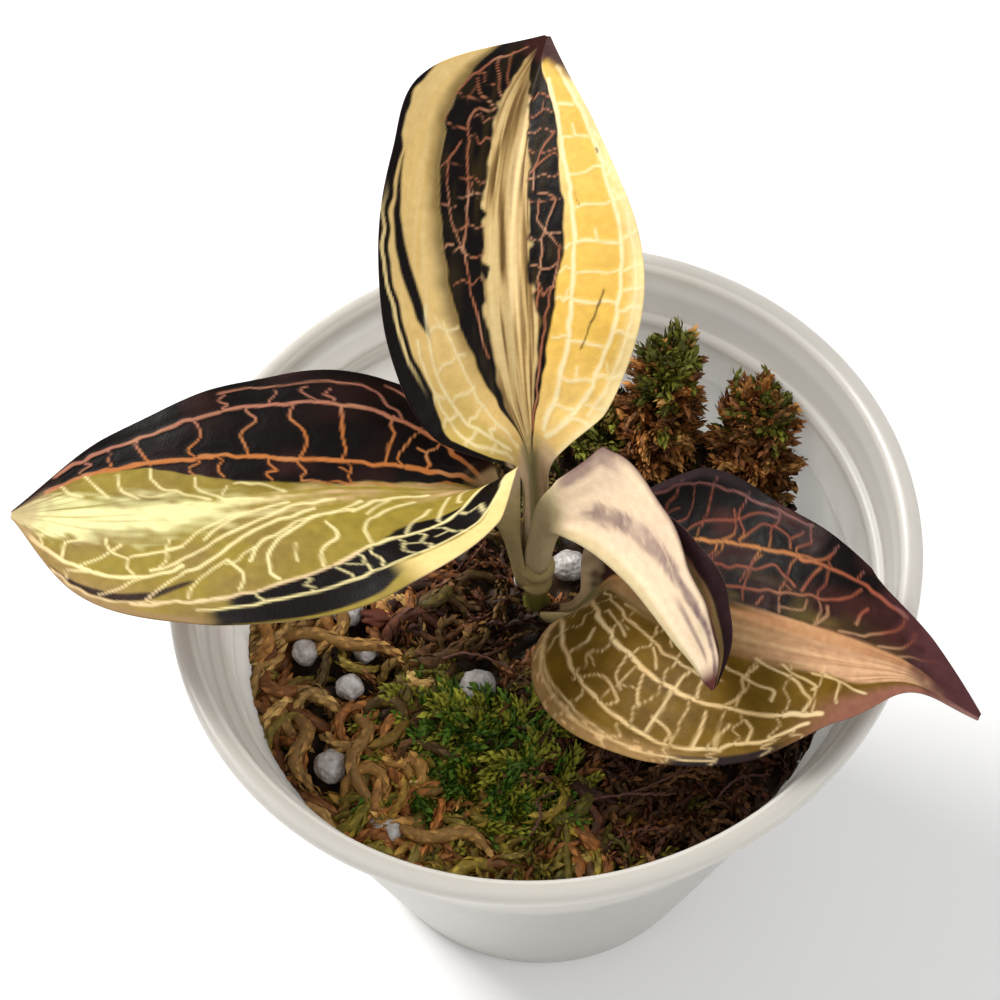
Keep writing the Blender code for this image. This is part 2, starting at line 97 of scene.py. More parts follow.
# Each list runs over nine places from the stem to the tip. left and right are half widths. fold is
# the slope of each side at the midrib and curl how much it adds to that towards the margin, in
# degrees; a pair is (left, right). sweep is how far each margin lags behind the midrib.
LEAVES = {
    "leaf_top": {
        "midrib": [(-1.2, 4.4, 61), (-1.4, 6.4, 72), (-2.0, 8.5, 82), (-3.0, 13.0, 87),
                   (-3.8, 19.5, 91.5), (-4.2, 27.0, 95), (-3.8, 35.5, 98), (-2.2, 44.5, 101),
                   (0.5, 53.5, 104)],
        "left": [1.9, 1.9, 3.0, 11.5, 16.0, 17.0, 15.9, 13.2, 0.4],
        "right": [1.9, 1.9, 2.8, 9.5, 14.6, 15.8, 13.2, 8.2, 0.4],
        "roll": [0, 0, 0, 2, 4, 4, 2, 0, 0],
        "fold": [(8, 8), (10, 10), (20, 20), (14, 14), (12, 10), (12, 10), (12, 12), (14, 14), (20, 20)],
        "curl": [(60, 60), (60, 60), (40, 40), (10, 0), (25, 0), (35, 0), (35, 0), (25, 0), (10, 10)],
        "sweep": [(v, v) for v in (0, 0, 1.5, 3.5, 2.0, 1.0, 0, 0, 0)],
    },
    "leaf_left": {
        "midrib": [(-2.4, 3.6, 59), (-4.4, 3.9, 72), (-8.0, 3.5, 80), (-15.5, 2.5, 83.5),
                   (-23.5, 1.5, 85.5), (-32.0, 0.0, 86.5), (-41.0, -1.0, 86.5), (-51.5, -1.5, 85.5),
                   (-62.0, -1.0, 83.5)],
        "left": [1.9, 1.9, 3.9, 13.5, 17.0, 17.7, 16.4, 12.5, 0.4],
        "right": [1.9, 1.9, 2.8, 10.0, 13.8, 14.5, 12.5, 8.3, 0.4],
        "fold": [(8, 8), (10, 10), (55, 25), (12, 14), (6, 12), (3, 10), (3, 10), (5, 12), (15, 15)],
        "curl": [(60, 60), (60, 60), (90, 40), (62, 0), (15, 0), (0, 0), (0, 0), (0, 0), (10, 10)],
        "sweep": [(0, 0), (0.5, 0), (3.4, 1.5), (6.4, 5.5), (4.0, 3.5), (1, 1), (0, 0), (0, 0), (0, 0)],
    },
    "leaf_right": {
        "midrib": [(0.0, 2.0, 53.4), (3.4, -1.6, 60.5), (8.0, -2.5, 69), (13.5, -7.5, 74),
                   (20.0, -12.5, 78), (26.5, -16.0, 80), (33.5, -18.5, 80.5), (40.5, -20.5, 80),
                   (48.0, -24.5, 77.0)],
        "left": [1.3, 1.3, 8.5, 17.5, 16.5, 14.5, 11.0, 5.0, 0.4],
        "right": [1.3, 1.3, 5.5, 17.5, 19.2, 15.8, 8.5, 2.6, 0.4],
        "fold": [(8, 8), (10, 10), (25, 5), (16, 0), (12, 0), (10, 0), (10, 0), (10, 0), (15, 10)],
        "curl": [(60, 60), (60, 60), (20, 0), (0, -20), (0, -25), (0, -20), (0, -10), (0, 0), (10, 10)],
        "sweep": [(0, 0), (0, 0), (2.5, 4.5), (5.5, 7.0), (3, 3), (1, 1), (0, 0), (0, 0), (0, 0)],
        "shoulder": 0.17,
    },
    "leaf_young": {
        "midrib": [(-1.0, 2.6, 64), (0.2, 1.0, 76), (2.2, -2.5, 81), (5.5, -7.0, 84),
                   (9.0, -12.0, 86), (11.5, -16.0, 86.5), (13.8, -19.4, 86), (16.0, -21.9, 85),
                   (17.7, -23.9, 83.5)],
        "left": [2.2, 2.4, 4.0, 7.0, 8.6, 8.6, 7.4, 4.6, 0.4],
        "right": [2.2, 2.4, 6.4, 11.4, 10.0, 7.4, 5.6, 3.2, 0.4],
        "fold": [(10, 10), (30, 60), (40, 110), (40, 130), (36, 132), (32, 132), (28, 128), (25, 120),
                 (30, 90)],
        "curl": [(110, 110), (40, 20), (10, -20), (5, -20), (5, -20), (5, -20), (5, -10), (5, 0),
                 (10, 10)],
        "sweep": [(0, 0)] * 9,
        "grid": 0.7, "corner": (0.335, 2.2),
    },
}

# Colours are linear RGB.
BLACK = (0.004, 0.0022, 0.0018)
ORANGE = (0.50, 0.17, 0.045)
CREAM = (0.90, 0.70, 0.32)
PALE = (0.95, 0.82, 0.48)
YELLOW = (0.80, 0.50, 0.10)
OLIVE_YELLOW = (0.29, 0.215, 0.032)
STALK = (0.42, 0.34, 0.16)
STALK_PALE = (0.62, 0.46, 0.28)
UNDER_PALE = (0.76, 0.58, 0.42)
UNDER_PURPLE = (0.16, 0.09, 0.11)

# Stem. Its nodes are (height, swelling, reach).
STEM_FOOT = 42
STEM_LENGTH = 25
STEM_RADIUS = 1.5
STEM_ROWS = 60
STEM_NODES = [(54.2, 0.35, 0.5), (59.6, 0.5, 0.8), (63.5, 0.75, 1.6)]

# Perlite beads: centre and radii.
BEADS = {
    "bead_1": ((3.4, 8.3), (2.5, 2.1, 1.8)),
    "bead_2": ((-8.5, -9.2), (2.4, 2.4, 2.2)),
    "bead_3": ((-30.3, -4.0), (1.8, 1.8, 1.7)),
    "bead_4": ((-25.1, 1.7), (2.0, 1.9, 1.8)),
    "bead_5": ((-22.8, -4.0), (1.5, 1.5, 1.4)),
    "bead_6": ((-24.6, -9.0), (1.8, 1.7, 1.7)),
    "bead_7": ((-26.4, -19.8), (2.3, 2.1, 2.0)),
    "bead_8": ((-19.6, -28.0), (2.2, 1.9, 1.2)),
}
# One bead too small to matter to the part's shape.
SMALL_BEAD = ("bead_9", ((-2.8, 6.2), (1.2, 1.1, 1.1)))
BEAD_Z = 54.4


def smooth_path(points, t):
    """Values at t, from 0 to 1, on a smooth curve through evenly spaced points."""
    p = np.array(points, float).reshape(len(points), -1)
    p = np.vstack([2 * p[0] - p[1], p, 2 * p[-1] - p[-2]])
    x = np.clip(t, 0, 1) * (len(p) - 3)
    i = np.minimum(x.astype(int), len(p) - 4)
    f = (x - i)[:, None]
    a, b, c, d = p[i], p[i + 1], p[i + 2], p[i + 3]
    return 0.5 * (2 * b + (c - a) * f + (2 * a - 5 * b + 4 * c - d) * f**2
                  + (3 * b - a - 3 * c + d) * f**3)


def unit(vectors):
    """The vectors at length 1."""
    return vectors / np.maximum(np.linalg.norm(vectors, axis=-1, keepdims=True), 1e-12)


def of_side(pairs, t, right):
    """The left or the right value of each pair, along t."""
    return np.where(right, *(smooth_path([pair[k] for pair in pairs], t)[:, 0] for k in (1, 0)))


def step(low, high, x):
    """0 below low, 1 above high, smooth between. low may be the larger."""
    f = np.clip((x - low) / (high - low), 0, 1)
    return f * f * (3 - 2 * f)


def half_width(leaf, t, s):
    """Width of one half of the blade, which may start at a sudden shoulder."""
    width = of_side(list(zip(leaf["left"], leaf["right"])), t, s >= 0)
    start = leaf.get("shoulder", -1)
    width = leaf["left"][0] + (width - leaf["left"][0]) * step(start, start + 0.09, t)
    place, extra = leaf.get("corner", (0.3, 0))
    return np.maximum(width + extra * np.exp(-np.abs(t - place) / 0.035) * (s > 0), 0.35)


def leaf_points(leaf, t, s):
    """Points of the blade's upper face."""
    right = s >= 0
    sign, a = np.where(right, 1.0, -1.0), np.abs(s)
    middle = smooth_path(leaf["midrib"], t)
    along = unit(smooth_path(leaf["midrib"], t + 1e-3) - smooth_path(leaf["midrib"], t - 1e-3))
    side = unit(np.cross(along, (0, 0, 1)))
    normal = np.cross(side, along)
    roll = np.radians(smooth_path(leaf.get("roll", [0] * len(leaf["left"])), t))
    side, normal = side * np.cos(roll) + normal * np.sin(roll), normal * np.cos(roll) - side * np.sin(roll)
    width = half_width(leaf, t, s)
    fold, curl = np.radians(of_side(leaf["fold"], t, right)), np.radians(of_side(leaf["curl"], t, right))
    curl = np.where(np.abs(curl) < 1e-3, 1e-3, curl)
    across = width * (np.sin(fold + curl * a) - np.sin(fold)) / curl
    rise = width * (np.cos(fold) - np.cos(fold + curl * a)) / curl
    ease = np.clip((t - 0.3) * 8, 0, 1) * np.clip((1 - t) * 8, 0, 1)
    rise = rise + WAVE * np.sin(34 * t + 2 * sign) * a**3 * ease
    back = of_side(leaf["sweep"], t, right) * a**1.6
    return middle + side * (sign * across)[:, None] + normal * rise[:, None] - along * back[:, None]


def line(pairs, t):
    """Values at t on the broken line through (t, value) pairs."""
    return np.interp(t, [p[0] for p in pairs], [p[1] for p in pairs])


def pairs(*numbers):
    """(t, s) points from hundredths, written t, s, t, s and so on."""
    return [(t / 100, s / 100) for t, s in zip(numbers[::2], numbers[1::2])]


def strokes(*rows):
    """Veins from hundredths: half width in millimetres, then the points as for pairs."""
    return [(row[0] / 100, pairs(*row[1:])) for row in rows]


def grain(u, v, seed):
    """Smooth noise from -1 to 1 with a feature about one unit wide."""
    table = np.random.default_rng(seed).uniform(-1, 1, (64, 64))
    iu, iv = np.floor(u).astype(int), np.floor(v).astype(int)
    fu, fv = u - iu, v - iv
    fu, fv = fu * fu * (3 - 2 * fu), fv * fv * (3 - 2 * fv)
    near, far = table[iu % 64, iv % 64], table[(iu + 1) % 64, iv % 64]
    near_up, far_up = table[iu % 64, (iv + 1) % 64], table[(iu + 1) % 64, (iv + 1) % 64]
    return (near * (1 - fu) + far * fu) * (1 - fv) + (near_up * (1 - fu) + far_up * fu) * fv


def mixed(colour, other, amount):
    """colour goes to other by amount, for an array of colours."""
    amount = np.asarray(amount)[:, None]
    return colour * (1 - amount) + np.asarray(other) * amount


def layered(colour, *layers):
    """Mixes in one (colour, amount) after another."""
    for other, amount in layers:
        colour = mixed(colour, other, amount)
    return colour


def plain(colour, count):
    """One colour for so many points."""
    return np.tile(np.array(colour, float), (count, 1))


class Canvas:
    """The grid of one leaf, with its flat coordinates in millimetres for distances."""

    def __init__(self, leaf):
        self.leaf = leaf
        rows, columns = (2 * round(count * leaf.get("grid", 1) / 2) for count in (LEAF_ROWS, LEAF_COLUMNS))
        stalk = np.linspace(0, 0.2, rows // 10, endpoint=False)
        blade = 0.2 + 0.8 * np.linspace(0, 1, rows + 1 - len(stalk))
        self.rows = np.concatenate([stalk, blade])
        self.columns = np.linspace(-1, 1, columns + 1)
        self.t, self.s = (g.ravel() for g in np.meshgrid(self.rows, self.columns, indexing="ij"))
        ladder = np.linspace(0, 1, 400)
        path = smooth_path(leaf["midrib"], ladder)
        self.ladder = ladder
        self.lengths = np.concatenate([[0], np.cumsum(np.linalg.norm(np.diff(path, axis=0), axis=1))])
        self.u, self.v = self.flat(self.t, self.s)

    def flat(self, t, s):
        """Millimetres along the midrib and across from it."""
        return np.interp(t, self.ladder, self.lengths), s * half_width(self.leaf, t, s)

    def grain(self, along, across, seed):
        """Noise with features of so many millimetres along and across the blade."""
        return grain(self.u / along, self.v / across, seed)

    def veins(self, lines, seed, wobble=0.1):
        """Distance in millimetres outside the nearest vein. Each line is (half width, (t, s) points)."""
        samples, widths = [], []
        for k, (thick, points) in enumerate(lines):
            t, s = (np.array(axis, float) for axis in zip(*points))
            u, v = self.flat(t, s)
            lengths = np.concatenate([[0], np.cumsum(np.hypot(np.diff(u), np.diff(v)))])
            ladder = np.arange(0, lengths[-1] + 0.08, 0.08)
            if len(points) > 2:
                fine = np.linspace(0, 1, len(ladder))
                even = np.interp(fine, lengths / lengths[-1], np.linspace(0, 1, len(points)))
                t, s = smooth_path(np.stack([t, s], axis=1), even).T
            else:
                t, s = (np.interp(ladder, lengths, axis) for axis in (t, s))
            u, v = self.flat(np.clip(t, 0, 1), s)
            v = v + wobble * 1.6 * grain(ladder / 1.3, ladder * 0 + k, seed)
            u = u + wobble * 1.6 * grain(ladder / 1.3, ladder * 0 + k + 9, seed + 2)
            swell = 1 + 0.25 * grain(ladder / 1.5, ladder * 0 + k, seed + 3)
            samples += list(zip(u, v))
            widths += list(thick * swell)
        tree = mathutils.kdtree.KDTree(len(samples))
        for i, (u, v) in enumerate(samples):
            tree.insert((u, v, 0), i)
        tree.balance()
        result = np.empty(len(self.u))
        for i, (u, v) in enumerate(zip(self.u, self.v)):
            _, k, distance = tree.find((u, v, 0))
            result[i] = distance - widths[k]
        return result


def drawn(distance, soft=0.18):
    """1 on a vein and 0 off it, from a distance in millimetres."""
    return step(soft, -soft, distance)


def stalk_colours(canvas, colour):
    """Fades the blade's colour into the channelled stalk."""
    t, s = canvas.t, canvas.s
    channel = step(0.55, 0.15, np.abs(s))
    stalk = mixed(plain(STALK_PALE, len(t)), (0.22, 0.20, 0.08), channel * 0.85)
    stalk = mixed(stalk, STALK, step(0.10, 0.02, t) * 0.8)
    stalk *= (1 + 0.12 * grain(canvas.u / 3, s * 5, 71))[:, None]
    start = 0.235 if "shoulder" not in canvas.leaf else 0.19
    fade = step(start + 0.055, start, t + 0.02 * grain(canvas.u, canvas.v, 70))
    return mixed(colour, stalk, fade)


def cross_links(bands, seed, thick, jitter=0.5):
    """Crooked cross veins between two long lines: (t values, low line, high line) for each band."""
    rng = random.Random(seed)
    links = []
    for places, low, high in bands:
        for place in places:
            points = []
            slant = rng.uniform(-0.006, 0.014)
            for k in range(5):
                f = k / 4
                t = place + slant * (f - 0.5) + rng.uniform(-1, 1) * 0.009 * jitter * (0 < k < 4)
                points.append((t, float(line(low, t) + (line(high, t) - line(low, t)) * f)))
            links.append((thick * rng.uniform(0.75, 1.2), points))
            if rng.random() < 0.3:
                t, s = points[2]
                links.append((thick * 0.7, [points[2], (t + 0.02, s + rng.uniform(-0.04, 0.04))]))
    return links


# Where the bands of the upright leaf meet.
GOLD_EDGE = pairs(25, 12, 30, 16, 35, 20, 40, 25, 50, 30, 55, 33, 60, 38, 65, 41, 70, 44, 75, 45.5, 85,
                  46, 89, 44, 92, 36, 94, 20, 96, 5, 100, -10)
CENTRE_HIGH = pairs(25, 5, 30, 9, 35, 13, 40, 16, 45, 19, 50, 20, 55, 17, 60, 15, 70, 15, 80, 12, 85, 8,
                    90, 1, 94, -8, 97, -20)
CENTRE_LOW = pairs(25, -16, 30, -19, 40, -21, 50, -19, 60, -18, 70, -20, 80, -21, 90, -24, 95, -28, 100,
                   -30)
BLACK_LOW = pairs(25, -20, 30, -22.5, 35, -26, 40, -31, 45, -36, 50, -39, 55, -43, 60, -46, 65, -50, 70,
                  -54, 75, -59, 85, -62, 90, -68, 94, -85, 97, -110)
CREAM_LOW = pairs(25, -86, 30, -92, 36, -93, 39, -83, 43, -79, 47, -81, 55, -85, 60, -90, 70, -92.5, 80,
                  -93.5, 88, -97, 92, -105)


def top_light_veins():
    """The pale net over the gold half and the cream band."""
    long_gold = strokes((26, 30, 36, 40, 43, 50, 45, 60, 47.5, 70, 52, 80, 50.5, 88, 47.5, 93, 40),
                        (22, 29, 50, 33, 66, 40, 74, 50, 80, 60, 83, 70, 86.5, 80, 88.5, 90, 87, 95, 70),
                        (10, 36, 84, 42, 90, 50, 92, 60, 93, 70, 94.5))
    v1, v2 = long_gold[0][1], long_gold[1][1]
    outer = pairs(30, 98, 90, 98)
    inner = [(p[0], p[1] - 0.12) for p in v1]
    net_gold = cross_links([
        ((0.36, 0.415, 0.47, 0.54, 0.595, 0.645, 0.71, 0.775, 0.835, 0.89), v1, v2),
        ((0.34, 0.38, 0.43, 0.49, 0.53, 0.565, 0.6, 0.66, 0.72, 0.77, 0.84), v2, outer),
        ((0.48, 0.545, 0.6, 0.64), inner, v1)], 21, 0.14)
    net_stripe = cross_links([
        ((0.33, 0.37, 0.41, 0.46, 0.51), pairs(0, -66, 100, -66), pairs(0, -42, 100, -42)),
        ((0.31, 0.345, 0.385, 0.42), pairs(0, -86, 100, -86), pairs(0, -66, 100, -66))], 22, 0.11)
    net_stripe += strokes((12, 28, -60, 36, -66, 45, -69, 55, -64),
                          (10, 27, -75, 34, -82, 40, -77, 50, -76),
                          (10, 27, -40, 36, -42, 45, -47, 52, -53))
    return long_gold + net_gold + net_stripe


def top_copper_veins():
    """The copper net over the black bands."""
    high_edge = [(t, s - 0.02) for t, s in GOLD_EDGE]
    dark_middle = [(t, -0.4) for t, _ in CENTRE_LOW]
    links = cross_links([
        ((0.56, 0.61, 0.66, 0.72, 0.765, 0.81, 0.84, 0.87, 0.9), CENTRE_HIGH, high_edge),
        ((0.58, 0.63, 0.67, 0.72, 0.745, 0.81, 0.845), dark_middle, CENTRE_LOW),
        ((0.64, 0.7, 0.76, 0.82, 0.87, 0.9), BLACK_LOW, dark_middle)], 23, 0.085, 0.9)
    links += strokes((11, 28, 10, 40, 20, 50, 25, 60, 35, 64, 38),
                     (10, 50, 19, 56, 20, 62, 24, 67, 27, 72, 38.5, 73.5, 24),
                     (9, 64, 37, 67, 27, 69, 22, 72, 24), (10, 77, 14, 80, 35, 80, 45),
                     (10, 74, 18, 80, 24, 84, 44),
                     (11, 45, -23, 55, -28, 63, -33, 70, -32, 78, -37, 82, -42, 85, -40, 86, -28),
                     (10, 63, -33, 66, -40, 72, -48, 77, -51, 80, -46), (9, 86, -24, 88, -45, 90, -60),
                     (9, 88, -24, 91, -40, 94, -65), (9, 90, -22, 93, -40, 95.5, -60),
                     (10, 73, -60, 80, -63, 88, -62, 93, -64, 97, -50))
    return links


def paint_top(c):
    """The upright leaf: bands of black, gold and cream along its length."""
    t, s, n = c.t, c.s, len(c.t)
    edge = 0.018 * c.grain(1.6, 3, 1)
    streak = grain(c.u / 9, s * 34, 2) + 0.5 * grain(c.u / 5, s * 70, 3)
    gold, high = line(GOLD_EDGE, t) + edge, line(CENTRE_HIGH, t) + edge
    low, dark, cream = line(CENTRE_LOW, t) + edge, line(BLACK_LOW, t) + edge, line(CREAM_LOW, t) + edge

    colour = layered(plain(YELLOW, n),
                     ((0.86, 0.60, 0.22), step(0.5, 0.3, t) * 0.8),
                     (CREAM, step(0.1, 0.0, s - gold) * 0.7 * step(0.55, 0.8, t)),
                     (PALE, step(0.82, 0.98, s) * 0.6))
    colour *= (1 + 0.07 * c.grain(2.2, 2.2, 5) + 0.04 * c.grain(0.5, 0.5, 6))[:, None]

    stripe = layered(plain((0.80, 0.55, 0.20), n),
                     ((0.58, 0.42, 0.11), step(0.5, 0.32, t) * step(-0.45, -0.6, s)),
                     (PALE, np.clip(0.25 + 0.4 * streak, 0, 1) * 0.4 * step(0.4, 0.6, t)))
    left = step(0.012, -0.012, s - dark)
    colour = mixed(colour, stripe, left)
    shade = step(-0.15, 0.0, s - dark) * left * step(0.35, 0.55, t)
    colour = mixed(colour, (0.13, 0.08, 0.02), shade * 0.85)

    black = plain(BLACK, n)
    brown = np.clip(0.1 + 0.5 * c.grain(3, 0.7, 8), 0, 1)
    black = mixed(black, (0.07, 0.045, 0.012), brown * 0.6)
    band = step(-0.012, 0.012, s - dark) * step(0.012, -0.012, s - gold)
    colour = mixed(colour, black, band)

    centre = layered(plain((0.56, 0.37, 0.14), n),
                     ((0.80, 0.62, 0.30), np.clip(0.5 + 0.8 * streak, 0, 1) * 0.75),
                     ((0.11, 0.055, 0.015), np.clip(-0.15 - 1.3 * streak, 0, 1) * 0.9),
                     ((0.88, 0.68, 0.36), step(0.07, 0.0, np.abs(s - 0.02)) * step(0.45, 0.6, t) * 0.6),
                     ((0.26, 0.15, 0.05), step(0.8, 0.95, t) * 0.55))
    ragged = 0.03 * grain(c.u / 0.9, c.v * 1.4, 9) * step(0.45, 0.6, t)
    middle = step(0.02, -0.012, s - high + ragged) * step(-0.02, 0.012, s - low + ragged)
    colour = mixed(colour, centre, middle)

    margin = step(0.01, -0.01, s - cream)
    colour = mixed(colour, BLACK, margin)
    line_low = step(0.02, 0.008, np.abs(s - cream + 0.055)) * step(0.42, 0.5, t) * step(0.72, 0.64, t)
    colour = mixed(colour, CREAM, line_low * 0.9)
    slivers = pairs(50, -65.5, 55, -70, 60, -77, 65, -84, 70, -87.5, 75, -90)
    depth = line(pairs(50, 0, 53, 3.5, 60, 5, 65, 3.5, 70, 2, 76, 0), t)
    sliver = step(0.015, -0.01, np.abs(s - line(slivers, t) - 0.5 * edge) - depth)
    colour = mixed(colour, BLACK, sliver * step(0.49, 0.51, t) * step(0.77, 0.75, t))

    tip = step(0.945, 0.975, t + 0.02 * s + 0.01 * c.grain(1, 1, 11))
    colour = mixed(colour, (0.05, 0.015, 0.012), tip)

    light = c.veins(top_light_veins(), 31, 0.09)
    on_light = (1 - band) * (1 - middle) * (1 - margin) * (1 - tip)
    colour = mixed(colour, PALE, drawn(light) * on_light * 0.85)

    net = c.veins(top_copper_veins(), 33, 0.12)
    copper = layered(plain((0.40, 0.14, 0.07), n),
                     ((0.62, 0.36, 0.22), np.clip(c.grain(3, 3, 12), 0, 1)))
    colour = mixed(colour, copper, drawn(net, 0.08) * np.maximum(band * (1 - middle), tip) * 0.9)

    scratch = c.veins(strokes((10, 46.5, 57, 50, 61, 53, 65, 56, 69), (16, 52.5, 65.5, 54, 66.5),
                              (5, 71, 56, 73.5, 57), (12, 81, 87, 81.5, 87.5)), 35, 0.14)
    colour = mixed(colour, (0.10, 0.06, 0.015), drawn(scratch, 0.1) * 0.9)
    relief = np.minimum(np.minimum(light + 0.1, net + 0.1), 3)
    return stalk_colours(c, colour), relief


# The left leaf: the foot of its black half, and the two lines along the black strip below.
BLACK_EDGE = pairs(25, 16, 30, 13, 35, 5, 40, 3, 50, 2, 55, 4, 60, 6, 65, 10, 70, 16, 75, 24, 80, 38, 85,
                   48, 90, 56, 93, 60, 100, 62)
WHITE_LINE = pairs(20, -60, 27, -62, 33, -59, 36, -57, 40, -55.5, 47, -55, 52, -59, 58, -66.5, 65, -74,
                   70, -79, 76, -84, 82, -90)
LOW_LINE = pairs(20, -86, 27, -90, 33, -88, 37, -83, 42, -78.5, 50, -77, 60, -81, 68, -86, 74, -90)


def left_copper_veins():
    """The copper net over the black half."""
    main = pairs(24, 34, 30, 27, 35, 21.5, 42, 20, 50, 20, 55, 23, 60, 27, 65, 32, 70, 37, 75, 40, 80, 44,
                 85, 50, 90, 57, 95, 62)
    arch = pairs(24, 46, 30, 54, 35, 58.5, 40, 64, 45, 68.5, 50, 70, 60, 74.5, 70, 77.5, 80, 78.5, 85, 80,
                 90, 86, 94, 95)
    upper = pairs(43, 68, 46, 80, 48, 87, 52, 89, 58, 90.5, 64, 93, 70, 95)
    outer = pairs(36, 64, 40, 76, 43, 88, 47, 96)
    sill = pairs(30, 12, 38, 0, 45, 1, 52, 3, 57, 6)
    inner_edge = [(p[0], p[1] + 0.01) for p in BLACK_EDGE]
    links = cross_links([
        ((0.36, 0.4, 0.44, 0.51, 0.575, 0.655, 0.74, 0.81, 0.865, 0.9), main, arch)], 121, 0.14, 1.6)
    links += cross_links([
        ((0.53, 0.56, 0.61, 0.69), arch, [(p[0], p[1] + 0.13) for p in arch]),
        ((0.49, 0.57, 0.62, 0.7, 0.74), inner_edge, main)], 122, 0.1, 1.2)
    return [(0.27, main), (0.19, arch), (0.09, upper), (0.08, outer), (0.1, sill)] + links


def left_light_veins():
    """The cream net over the olive half."""
    net = [
        *strokes((15, 36, -13, 42, -14, 46, -17, 50, -24),
                 (13, 39, -21, 43, -24, 47.5, -33, 49.5, -42, 49.5, -56),
                 (15, 48, -16, 53, -22, 58, -27, 62, -38, 64, -50, 64, -62, 63, -68),
                 (15, 50, -23, 56, -24, 60, -28, 65, -40, 66.5, -52),
                 (16, 56, -18, 62, -24, 67, -32, 70, -42, 74, -56, 76, -62),
                 (16, 52, -12, 60, -14, 66, -24, 71, -34, 76, -50, 80, -60),
                 (13, 60, -10, 66, -14, 70, -22, 73, -33),
                 (13, 62, -12, 68, -16, 73, -26, 76, -38, 78, -42),
                 (22, 76, -56, 80, -64, 85, -68, 90, -72, 94, -80, 97, -90),
                 (14, 70, -50, 68, -62, 68.5, -74), (12, 70, -52, 74, -66, 75, -80),
                 (15, 55, -30, 54, -42, 57, -52, 57.5, -64), (13, 78, -33, 78, -48, 79, -58),
                 (12, 76, -40, 82, -47, 83, -56, 82, -64), (13, 76, -62, 79, -76, 81, -90),
                 (13, 81, -65, 84, -80, 86, -90), (12, 84, -38, 86, -50, 88, -62, 88.5, -70),
                 (12, 87, -68, 90, -82, 90, -92), (13, 86, -34, 85.5, -44, 83, -50),
                 (12, 89, -36, 91, -50, 91, -70), (11, 93, -40, 94.5, -60, 94, -78),
                 (10, 95.5, -42, 96.5, -60), (10, 31, -34, 34, -44, 34.5, -50),
                 (10, 34, -30, 38, -44, 39, -54), (11, 38, -34, 42, -44, 44, -54),
                 (10, 43, -16, 46, -22, 48, -28), (10, 64, -5, 70, 0, 74, 10, 74, 20),
                 (12, 72, 0, 78, 12, 80, 24, 80.5, 40), (12, 82, 8, 84.5, 20, 85, 40),
                 (12, 86, 14, 88, 34, 89.5, 55), (12, 90, 20, 92, 40, 93, 58), (10, 70, 2, 69, 10),
                 (10, 60, 0, 64, 8, 68, 10), (10, 77, 10, 80, 6, 82, 10)),
        (0.2, WHITE_LINE), (0.13, LOW_LINE),
        *strokes((10, 66, -42, 68, -50, 70, -53), (9, 60, -42, 60.5, -56),
                 (10, 70, -80, 78, -85, 86, -93, 92, -97)),
    ]
    net += cross_links([((0.36, 0.4, 0.43, 0.455, 0.5, 0.52, 0.555, 0.6, 0.655), LOW_LINE, WHITE_LINE)],
                       123, 0.09, 0.8)
    return net


